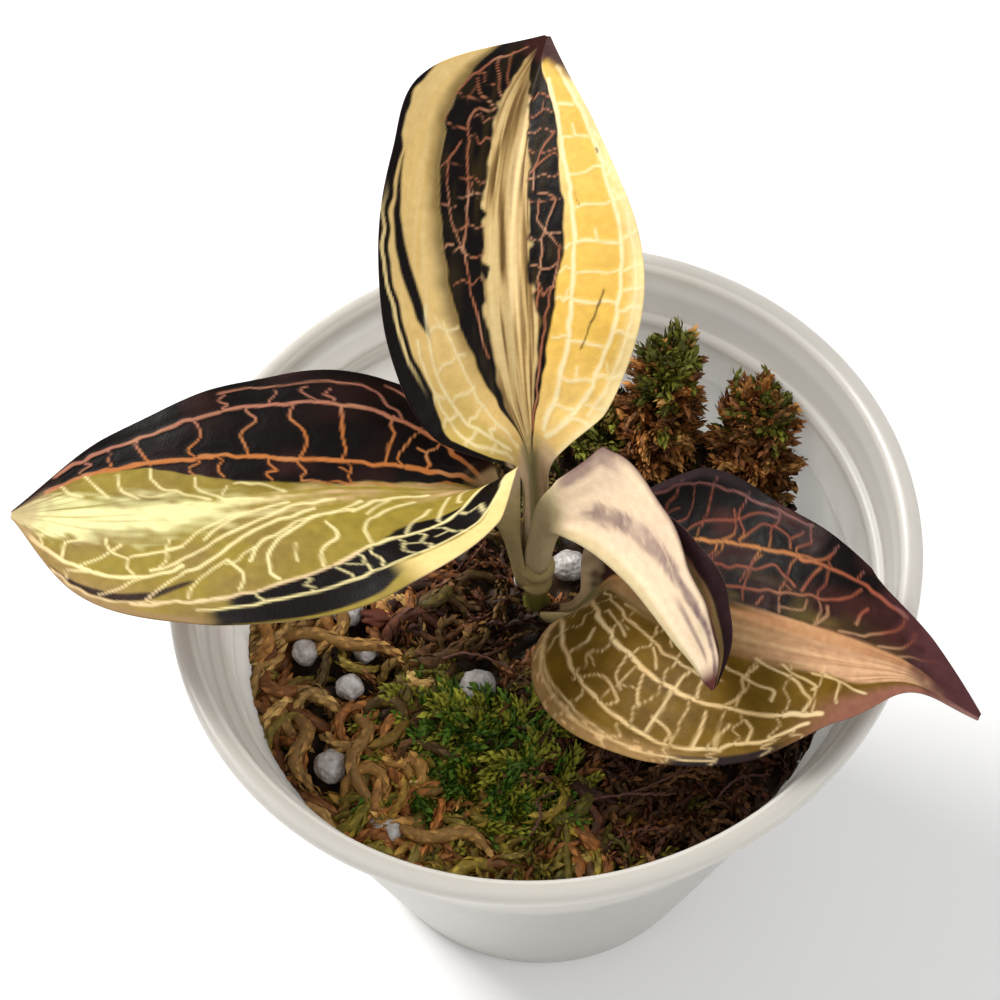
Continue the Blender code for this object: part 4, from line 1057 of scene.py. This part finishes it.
def off_lines(around, z):
    """Distance on the wall from the nearest raised line."""
    nearest = np.full(len(z), 99.0)
    for (turn_a, low), (turn_b, high) in WALL_LINES:
        reach = math.radians(turn_b - turn_a) * wall_radius((low + high) / 2)
        length = math.hypot(reach, high - low)
        turned = (around - math.radians(turn_a) + np.pi) % (2 * np.pi) - np.pi
        x, y = turned * wall_radius(z), z - low
        f = np.clip((x * reach + y * (high - low)) / length**2, 0, 1)
        nearest = np.minimum(nearest, np.hypot(x - f * reach, y - f * (high - low)))
    return nearest


def tube(path, radii, sides=5):
    """Points and faces of a closed tube along a path."""
    path = np.array(path, float)
    n = len(path)
    along = np.empty_like(path)
    along[1:-1] = path[2:] - path[:-2]
    along[0], along[-1] = path[1] - path[0], path[-1] - path[-2]
    along = unit(along)
    normal = np.cross(along[0], (0.31, 0.87, 0.38))
    points, faces = [], []
    for i in range(n):
        normal = normal - along[i] * (normal @ along[i])
        normal = normal / np.linalg.norm(normal)
        across = np.cross(along[i], normal)
        for k in range(sides):
            angle = 2 * math.pi * k / sides
            points.append(path[i] + radii[i] * (normal * math.cos(angle) + across * math.sin(angle)))
    for i in range(n - 1):
        for k in range(sides):
            m = (k + 1) % sides
            faces.append((i * sides + k, i * sides + m, (i + 1) * sides + m, (i + 1) * sides + k))
    faces.append(tuple(range(sides - 1, -1, -1)))
    faces.append(tuple(range((n - 1) * sides, n * sides)))
    return np.array(points), faces


def joined(solids):
    """Several solids' points and faces as one."""
    points, faces, start = [], [], 0
    for own, own_faces in solids:
        points.append(np.asarray(own))
        faces += [tuple(start + i for i in f) for f in own_faces]
        start += len(own)
    return np.vstack(points), faces


def bed_height(x, y):
    """Height of the moss: soft hollows and humps, lower against the wall."""
    humps = 0.7 * math.sin(0.31 * x + 1.1) * math.cos(0.27 * y - 0.4) + 0.45 * math.sin(0.62 * x - 0.5 * y)
    return MOSS_TOP + humps - 1.1 * (math.hypot(x, y) / 37) ** 4


# Strand colours by region of the bed: centre, reach and shades.
MOSS_REGIONS = [
    ((-28, -8), (8, 20), [(0.56, 0.27, 0.075), (0.40, 0.16, 0.04), (0.66, 0.40, 0.13), (0.22, 0.08, 0.02),
                          (0.33, 0.24, 0.04)]),
    ((-20, -28), (10, 7), [(0.54, 0.28, 0.07), (0.38, 0.22, 0.035), (0.28, 0.22, 0.025),
                           (0.46, 0.17, 0.04)]),
    ((-6, 2), (10, 12), [(0.10, 0.032, 0.012), (0.05, 0.018, 0.008), (0.20, 0.075, 0.022),
                         (0.13, 0.07, 0.018)]),
    ((-10, -8), (8, 5), [(0.17, 0.10, 0.018), (0.24, 0.17, 0.03), (0.11, 0.05, 0.014),
                         (0.16, 0.15, 0.015)]),
    ((-3, -31), (12, 6), [(0.28, 0.20, 0.025), (0.20, 0.15, 0.018), (0.40, 0.30, 0.06),
                          (0.13, 0.11, 0.01), (0.28, 0.11, 0.025)]),
    ((20, -22), (14, 14), [(0.15, 0.05, 0.018), (0.07, 0.024, 0.010), (0.26, 0.12, 0.045),
                           (0.11, 0.05, 0.016)]),
    ((14, 22), (20, 10), [(0.10, 0.07, 0.012), (0.15, 0.08, 0.022), (0.07, 0.03, 0.010),
                          (0.09, 0.10, 0.012)]),
]


def moss_shade(rng, x, y):
    """A strand's colour: a shade of one of the regions near it."""
    weights = [math.exp(-((x - cx) / rx) ** 2 - ((y - cy) / ry) ** 2) + 1e-4
               for (cx, cy), (rx, ry), _ in MOSS_REGIONS]
    region = rng.choices(MOSS_REGIONS, weights)[0]
    return np.array(rng.choice(region[2])) * rng.uniform(0.7, 1.3)


def held_in(points):
    """Moves points that would pass through the cup's wall back inside it."""
    points = np.array(points, float)
    room = wall_radius(np.clip(points[:, 2], 0, STEP_Z - 1)) - WALL - 0.25
    distance = np.hypot(points[:, 0], points[:, 1])
    points[:, :2] *= np.minimum(1, room / np.maximum(distance, 1e-6))[:, None]
    return oval(points)


class Moss:
    """Strands with small overlapping leaflets, gathered into one mesh."""

    def __init__(self, seed):
        self.rng = random.Random(seed)
        self.points, self.faces, self.colours, self.start = [], [], [], 0

    def add(self, points, faces, colour, fade=None):
        """Takes in a solid of one colour, which may be made darker or lighter from point to point, as
        painted shade and light.
        """
        count = len(points)
        self.points.append(np.asarray(points))
        self.faces += [tuple(self.start + i for i in f) for f in faces]
        shades = np.tile(np.array(colour, float), (count, 1))
        if fade is not None:
            shades = shades * np.asarray(fade)[:, None]
        self.colours.append(shades)
        self.start += count

    def strand(self, path, radius, colour, leaflets, size, tip_colour=None, spread=0.5, sides=5):
        """A tapering core along a path, with pointed leaflets all round it."""
        rng, path = self.rng, np.array(path, float)
        n = len(path)
        colour = np.array(colour) * rng.uniform(0.8, 1.2)
        tip_colour = colour * 1.2 if tip_colour is None else np.array(tip_colour) * rng.uniform(0.8, 1.2)
        radii = [radius * (1 - 0.6 * abs(2 * i / (n - 1) - 0.9) ** 3) for i in range(n)]
        self.add(*tube(path, radii, sides), colour * 0.8)
        for k in range(leaflets):
            f = (k + rng.random() * 0.6) / leaflets
            i = min(int(f * (n - 1)), n - 2)
            g = f * (n - 1) - i
            base = path[i] * (1 - g) + path[i + 1] * g
            along = unit(path[i + 1] - path[i])
            aside = unit(np.cross(along, (0.3, 0.5, 0.81)))
            angle = 2.4 * k + rng.uniform(-0.3, 0.3)
            out = aside * math.cos(angle) + np.cross(along, aside) * math.sin(angle)
            wide = np.cross(along, out)
            length, lean = size * rng.uniform(0.7, 1.3), spread * rng.uniform(0.5, 1.5)
            heading = unit(along + out * lean)
            root = base + out * radii[i] * 0.8
            middle = root + heading * length * 0.45 + out * length * 0.1
            tip = root + heading * length + (along - out * 0.4) * length * 0.1
            half = length * 0.26
            points = [root - wide * half * 0.6, root + wide * half * 0.6, middle + wide * half,
                      middle - wide * half, middle + out * half * 0.4, tip]
            faces = [(0, 1, 4), (1, 2, 4), (0, 4, 3), (4, 2, 5), (3, 4, 5)]
            tone = colour * (1 - f) + tip_colour * f
            # Painted shade and light: each leaflet is darker where it leaves the core and lighter on its
            # raised middle and tip.
            self.add(points, faces, tone * rng.uniform(0.75, 1.25), [0.55, 0.55, 1, 1, 1.1, 1.4])

    def piece(self, name, *nodes, slot="moss_bed"):
        """Makes the object."""
        points = held_in(np.vstack(self.points))
        obj = finish_mesh(name, points, self.faces, np.vstack(self.colours), moss_material())
        settle(obj, *nodes, slot=slot)


def make_soil():
    """The dark bed beneath the strands, a lumpy skin down to the cup's floor."""
    turns = 2 * np.pi * np.arange(SOIL_SEGMENTS) / SOIL_SEGMENTS
    points = []
    for radius in MOSS_EDGE * np.arange(1, SOIL_RINGS + 1) / SOIL_RINGS:
        for x, y in zip(radius * np.cos(turns), radius * np.sin(turns)):
            points.append((x, y, bed_height(x, y) - 1.0))
    points = np.array(points)
    x, y = points[:, 0], points[:, 1]
    lumps = grain(x / 1.3, y / 1.3, 501) + 0.5 * grain(x / 0.5, y / 0.5, 502)
    points[:, 2] += 0.55 * lumps - 0.4
    # Painted shade: the soil is darker in the hollows and lighter on the lumps that the same noise raises.
    colours = plain(SOIL_COLOUR, len(points)) * np.clip(0.75 + 0.5 * lumps, 0.2, 1.6)[:, None]
    skirt = [(radius * math.cos(turn), radius * math.sin(turn), z)
             for radius, z in ((wall_radius(30) - WALL - 0.3, 30), (BASE_RADIUS - WALL - 0.4, 3),
                               (BASE_RADIUS - 3, 1.5)) for turn in turns]
    points = np.vstack([points, skirt])
    colours = np.vstack([colours, plain(SKIRT_COLOUR, len(skirt))])
    faces = [(face[0], *face[:0:-1]) for face in ring_faces(SOIL_RINGS + 3, SOIL_SEGMENTS)]
    settle(finish_mesh("soil", oval(points), faces, colours, moss_material()), "moss_bed")


def over_bead(path, room):
    """Whether a path passes over one of the perlite beads that lie open."""
    return any(math.hypot(x - cx, y - cy) < max(size) + room for x, y, _ in path
               for name, ((cx, cy), size) in BEADS.items() if name != "bead_8")


def lying(rng, x, y, heading, length, rise, bend):
    """A path that lies on the bed in a bow, its ends tucked in."""
    path = []
    for k in range(9):
        f = k / 8
        turn = heading + bend * (f - 0.5)
        px = x + length * (f - 0.5) * math.cos(turn)
        py = y + length * (f - 0.5) * math.sin(turn)
        bow = (rise + 0.6) * math.sin(math.pi * f) ** 0.8
        path.append((px, py, bed_height(px, py) - 0.9 + bow + 0.15 * rng.uniform(-1, 1)))
    return path


def spots(rng, count, keep):
    """Random places on the bed that keep(x, y) allows."""
    found = []
    while len(found) < count:
        angle, distance = rng.uniform(0, 2 * math.pi), 37.5 * math.sqrt(rng.random())
        x, y = distance * math.cos(angle), distance * math.sin(angle)
        if keep(x, y):
            found.append((x, y))
    return found


def make_fat_moss():
    """Thick tan strands in loops: the left side, and some in front."""
    moss = Moss(41)
    rng = moss.rng
    places = spots(rng, 430, lambda x, y: x < -15 + rng.uniform(-5, 5) - 0.25 * max(y, 0))
    places += spots(rng, 60, lambda x, y: x < 8 and y < -24)
    for x, y in places:
        path = lying(rng, x, y, rng.uniform(0, 6.28), rng.uniform(7, 15), rng.uniform(0.2, 3.0),
                     rng.uniform(-3.2, 3.2))
        if over_bead(path, 0.7):
            continue
        moss.strand(path, rng.uniform(0.45, 0.95), moss_shade(rng, x, y), 36, rng.uniform(1.1, 1.7),
                    spread=0.16, sides=7)
    moss.piece("moss_thick")


def make_fine_moss():
    """Feathery strands over the rest of the bed, in two pieces."""
    for name, seed, count, keep in (("moss_near", 42, 500, lambda x, y: y < -6 and x > -24),
                                    ("moss_far", 46, 370, lambda x, y: y >= -8 and x > -20)):
        moss = Moss(seed)
        rng = moss.rng
        for x, y in spots(rng, count, keep):
            path = lying(rng, x, y, rng.uniform(0, 6.28), rng.uniform(4, 9), rng.uniform(0.3, 2.2),
                         rng.uniform(-1.8, 1.8))
            if over_bead(path, 0.4):
                continue
            feathery = rng.random() < 0.6
            shade = moss_shade(rng, x, y)
            moss.strand(path, rng.uniform(0.2, 0.45), shade, 34,
                        rng.uniform(0.9, 1.3) if feathery else 0.8, shade * 1.3,
                        spread=0.75 if feathery else 0.25)
        moss.piece(name)


def clump(moss, foot, top, width, count, shades, green):
    """A shaggy tuft: short bent strands that leave its middle line in every direction."""
    rng, foot, top = moss.rng, np.array(foot), np.array(top)
    for i in range(count):
        f = rng.random()
        reach = width * (1 - 0.5 * f**4) * rng.uniform(0.35, 1)
        angle = 2.4 * i
        out = np.array([math.cos(angle), math.sin(angle), rng.uniform(-0.25, 0.5)])
        start = foot + (top - foot) * f * 0.85 + out * reach * 0.25
        end = foot + (top - foot) * f * 0.93 + out * reach + np.array([0, 0, rng.uniform(0, 1.2)])
        droop = rng.uniform(-1.6, 1.2)
        side = np.array([-math.sin(angle), math.cos(angle), 0]) * rng.uniform(-1.4, 1.4)
        path = [start + (end - start) * g + side * math.sin(math.pi * g)
                + np.array([0, 0, 1.4 * math.sin(2.2 * g) + droop * g * g])
                for g in np.linspace(0, 1, 7)]
        shade = np.array(rng.choice(shades)) * rng.uniform(0.7, 1.6)
        is_green = rng.random() < green * (0.08 + 1.6 * f**3)
        tip = np.array(GREEN_TIP) * rng.uniform(0.7, 1.6) if is_green else shade * 1.5
        moss.strand(path, rng.uniform(0.3, 0.6), tip * 0.8 if is_green else shade, 24,
                    rng.uniform(0.9, 1.4), tip, rng.uniform(0.15, 0.55))


def make_tufts():
    """The two brown tufts at the back, with green tips, and small green sprigs by the wall."""
    moss = Moss(43)
    browns = [(0.20, 0.075, 0.017), (0.30, 0.125, 0.03), (0.12, 0.045, 0.012), (0.36, 0.18, 0.05)]
    clump(moss, (14.2, 24.5, 53.0), (16.0, 32.5, 68.5), 6.4, 280, browns, 0.6)
    clump(moss, (27.0, 19.0, 53.0), (28.0, 27.0, 66.8), 6.8, 300, browns, 0.4)
    clump(moss, (7.5, 25.5, 53.0), (6.5, 27.0, 58.5), 4.5, 50, [(0.12, 0.08, 0.014), (0.10, 0.11, 0.012)],
          0.8)
    for x, y in ((33, 6), (34.5, 1), (30.5, 11)):
        clump(moss, (x, y, 53.2), (x + 0.3, y + 0.5, 56.5), 2.0, 7, [(0.13, 0.13, 0.02)], 0.8)
    moss.piece("moss_tufts")


def make_green_heads():
    """Vivid green moss heads at the front: low fronds that spread and overlap."""
    heads = {
        "moss_heads": (44, [((-8.5, -18.0), 6.6, 100), ((-1.0, -22.6), 3.6, 46),
                            ((-7.5, -24.0), 4.5, 40)]),
        "moss_heads_left": (47, [((-14.5, -14.5), 5.2, 62), ((-18.0, -20.0), 3.0, 20),
                                 ((-3.0, -14.0), 3.0, 14)]),
    }
    for name, (seed, places) in heads.items():
        moss = Moss(seed)
        rng = moss.rng
        for (cx, cy), spread, count in places:
            for i in range(count):
                angle, distance = 2.4 * i, spread * math.sqrt((i + 0.5) / count)
                x, y = cx + distance * math.cos(angle), cy + 0.9 * distance * math.sin(angle)
                heading, lean = angle + rng.uniform(-1.2, 1.2), rng.uniform(2.0, 5.5)
                height, z = rng.uniform(0.6, 1.9) * (1.3 - 0.6 * distance / spread), bed_height(x, y) + 0.3
                if over_bead([(x, y, z)], 0.6):
                    continue
                path = [(x + lean * g * math.cos(heading + 0.5 * g),
                         y + lean * g * math.sin(heading + 0.5 * g),
                         z - 0.8 + (height + 1) * math.sin(1.9 * g)) for g in np.linspace(0, 1, 7)]
                dark = rng.random() < 0.55
                tone = (0.035, 0.12, 0.006) if dark else (0.17, 0.21, 0.014)
                tip = (0.10, 0.20, 0.010) if dark else (0.36, 0.36, 0.03)
                moss.strand(path, 0.22, tone, 34, rng.uniform(0.9, 1.3), tip, 0.8)
        moss.piece(name, *(["moss_green"] if name == "moss_heads" else []), slot="moss_green")


def make_strings():
    """Thin roots, thick ropes of moss and a bit of bark lying on the bed."""
    rng = random.Random(45)
    make_roots(rng)
    make_ropes(rng)
    points, faces = ball(4)
    rough = 1 + 0.22 * grain(points[:, 0] * 2 + 5, points[:, 1] * 2 + points[:, 2], 551)
    chip = points * np.array((2.3, 1.4, 0.8)) * rough[:, None] + np.array((-21.0, 0.4, 55.4))
    colours = plain(BARK_COLOUR, len(points))
    settle(finish_mesh("moss_bark", chip, faces, colours, moss_material()), slot="moss_bed")


def make_roots(rng):
    """Thin pale roots."""
    routes = [
        [(1.0, -25.6, 55.4), (5.0, -25.0, 55.9), (9.5, -24.4, 56.0), (14.0, -22.6, 56.2),
         (17.0, -21.0, 55.6)],
        [(9.5, -24.4, 56.0), (13.0, -24.6, 56.4), (15.5, -24.4, 55.8)],
        [(-14.5, -6.0, 55.2), (-10.0, -5.4, 56.4), (-5.5, -6.6, 55.8), (-2.0, -9.0, 55.0)],
        [(-3.0, -30.0, 54.6), (-1.0, -27.5, 56.5), (-1.4, -25.4, 56.8), (1.0, -24.0, 55.6)],
        [(6.0, -31.0, 54.5), (10.0, -29.0, 55.5), (15.0, -28.5, 54.8)],
        [(20.0, -25.0, 54.8), (23.0, -22.5, 56.0), (27.0, -21.5, 55.0)],
    ]
    solids = []
    for route in routes:
        path = smooth_path(route, np.linspace(0, 1, 28))
        path = path + 0.12 * np.array([[rng.uniform(-1, 1) for _ in range(3)] for _ in range(28)])
        solids.append(tube(path, [0.2 * (1 - 0.4 * k / 27) for k in range(28)], 6))
    points, faces = joined(solids)
    colours = plain(ROOT_COLOUR, len(points))
    settle(finish_mesh("moss_roots", points, faces, colours, moss_material()), slot="moss_bed")


def make_ropes(rng):
    """Thick tan strands in the open."""
    ropes = Moss(48)
    for route in ([(-34, -1.5, 54.4), (-29.5, -1.4, 55.9), (-25, -3.2, 56.2), (-20.5, -3.6, 55.8),
                   (-17.5, -5.5, 54.6)],
                  [(-27, 4.5, 54.4), (-25.5, 0.0, 56.0), (-27, -2.4, 55.7), (-30, -3.6, 54.4)],
                  [(-31, -12, 54.2), (-29, -15.5, 56.4), (-30.5, -19, 56.2), (-28, -22.5, 54.4)],
                  [(-24, -12, 54.3), (-21.5, -15.5, 56.3), (-23.5, -19, 56.5), (-22, -23, 55.4),
                   (-18.5, -26, 54.2)],
                  [(-18, -27, 54.2), (-14, -29.5, 56.1), (-9, -29, 56.0), (-6, -31.5, 54.4)]):
        path = smooth_path(route, np.linspace(0, 1, 14))
        ropes.strand(path, rng.uniform(0.7, 0.95), ROPE_COLOUR, 44, 1.4, spread=0.12, sides=8)
    ropes.piece("moss_ropes")


def make_beads():
    """Pitted perlite beads, a little lumpy."""
    for k, (name, ((x, y), size)) in enumerate([*BEADS.items(), SMALL_BEAD]):
        points, faces = ball(4)
        u = points * 2.3 + 7.0 * k
        lump = 1 + 0.06 * np.sin(5 * points[:, 0] + x) * np.cos(4 * points[:, 1] + y)
        pits = 0.055 * grain(u[:, 0] * 1.7 + u[:, 2], u[:, 1] * 1.7 - u[:, 2], 600 + k)
        pits += 0.03 * grain(u[:, 0] * 4 + 3 * u[:, 2], u[:, 1] * 4, 620 + k)
        shaped = points * (np.array(size) * 0.98) * (lump + pits)[:, None] + np.array((x, y, BEAD_Z))
        bead = finish_mesh(name.replace("bead", "perlite"), shaped, faces, None, bead_material())
        settle(bead, *([name] if name in BEADS else []), slot="perlite")


def ball(subdivisions):
    """Points and faces of a unit ball."""
    bm = bmesh.new()
    bmesh.ops.create_icosphere(bm, subdivisions=subdivisions, radius=1)
    points = np.array([v.co[:] for v in bm.verts])
    faces = [tuple(v.index for v in f.verts) for f in bm.faces]
    bm.free()
    return points, faces


def make_stem():
    """The stem with its swollen nodes, olive above and green below."""
    path, radii = [], []
    for f in np.linspace(0, 1, STEM_ROWS):
        z = STEM_FOOT + STEM_LENGTH * f
        path.append((-1.2 + 0.2 * f, 2.9 + 0.3 * f, z))
        swell = sum(more * math.exp(-((z - node) / reach) ** 2) for node, more, reach in STEM_NODES)
        radii.append((STEM_RADIUS + swell) * (1 - 0.5 * step(66, 67.5, z)))
    points, faces = tube(path, radii, 28)
    z = points[:, 2]
    colours = layered(plain((0.16, 0.15, 0.03), len(points)),
                      ((0.46, 0.36, 0.16), step(57, 61, z)),
                      ((0.20, 0.09, 0.04), np.exp(-((z - 59.4) / 0.25) ** 2) * 0.6))
    settle(finish_mesh("stalk", points, faces, colours, leaf_material()), "stem")


def make_camera():
    """The photograph's viewpoint. The camera looks ahead and down, with a slight roll."""
    data = bpy.data.cameras.new("camera")
    data.sensor_width = 36
    data.lens = CAMERA_LENS
    data.clip_start, data.clip_end = 0.01, 20
    camera = bpy.data.objects.new("camera", data)
    tilt, roll = math.radians(CAMERA_TILT), math.radians(CAMERA_ROLL)
    right, back = np.array([1.0, 0, 0]), np.array([0, -math.cos(tilt), math.sin(tilt)])
    up = np.cross(back, right)
    x = math.cos(roll) * right + math.sin(roll) * up
    y = -math.sin(roll) * right + math.cos(roll) * up
    matrix = mathutils.Matrix([[*row, 0] for row in np.stack([x, y, back], axis=1).tolist()]
                              + [[0, 0, 0, 1]])
    matrix.translation = [v * MM for v in CAMERA_PLACE]
    camera.matrix_world = matrix
    bpy.context.scene.collection.objects.link(camera)
    bpy.context.scene.camera = camera


def make_light(name, place, size, power, colour):
    """A soft round light that faces the plant."""
    data = bpy.data.lights.new(name, "AREA")
    data.shape = "DISK"
    data.size = size
    data.energy = power
    data.color = colour
    light = bpy.data.objects.new(name, data)
    light.location = place
    direction = mathutils.Vector(LIGHT_AIM) - mathutils.Vector(place)
    light.rotation_euler = direction.to_track_quat("-Z", "Y").to_euler()
    bpy.context.scene.collection.objects.link(light)


def make_studio():
    """A pale floor under soft, even light."""
    half = FLOOR_SIZE / 2
    points = [(-half, -half, 0), (half, -half, 0), (half, half, 0), (-half, half, 0)]
    look = Look("floor", Roughness=0.9, Specular_IOR_Level=0.1, Base_Color=(0.95, 0.95, 0.95, 1))
    finish_mesh("floor", points, [(0, 1, 2, 3)], None, look.material)
    world = bpy.data.worlds.new("world")
    world.use_nodes = True
    background = world.node_tree.nodes["Background"].inputs
    background["Color"].default_value, background["Strength"].default_value = (1, 1, 1, 1), SKY_STRENGTH
    scene = bpy.context.scene
    scene.world = world
    scene.view_settings.view_transform, scene.view_settings.look = "Standard", "None"
    make_light("key", (-0.45, 0.30, 0.62), 0.35, 6.3, (1, 0.98, 0.95))
    make_light("fill", (0.55, -0.30, 0.5), 0.5, 1.6, (1, 1, 1))


def build():
    """Every piece of the scene."""
    make_camera()
    make_studio()
    make_pot()
    make_soil()
    make_fat_moss()
    make_fine_moss()
    make_tufts()
    make_green_heads()
    make_strings()
    make_beads()
    make_stem()
    make_leaf("leaf_top", paint_top)
    make_leaf("leaf_left", paint_left)
    make_leaf("leaf_right", paint_right)
    make_leaf("leaf_young", paint_young, under_young)


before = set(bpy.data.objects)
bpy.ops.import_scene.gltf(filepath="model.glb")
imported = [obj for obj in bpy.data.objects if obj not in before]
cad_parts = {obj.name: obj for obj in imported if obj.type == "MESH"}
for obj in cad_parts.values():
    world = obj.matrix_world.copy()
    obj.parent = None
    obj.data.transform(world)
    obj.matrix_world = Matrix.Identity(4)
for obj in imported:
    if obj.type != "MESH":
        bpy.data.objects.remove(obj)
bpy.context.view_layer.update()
build()
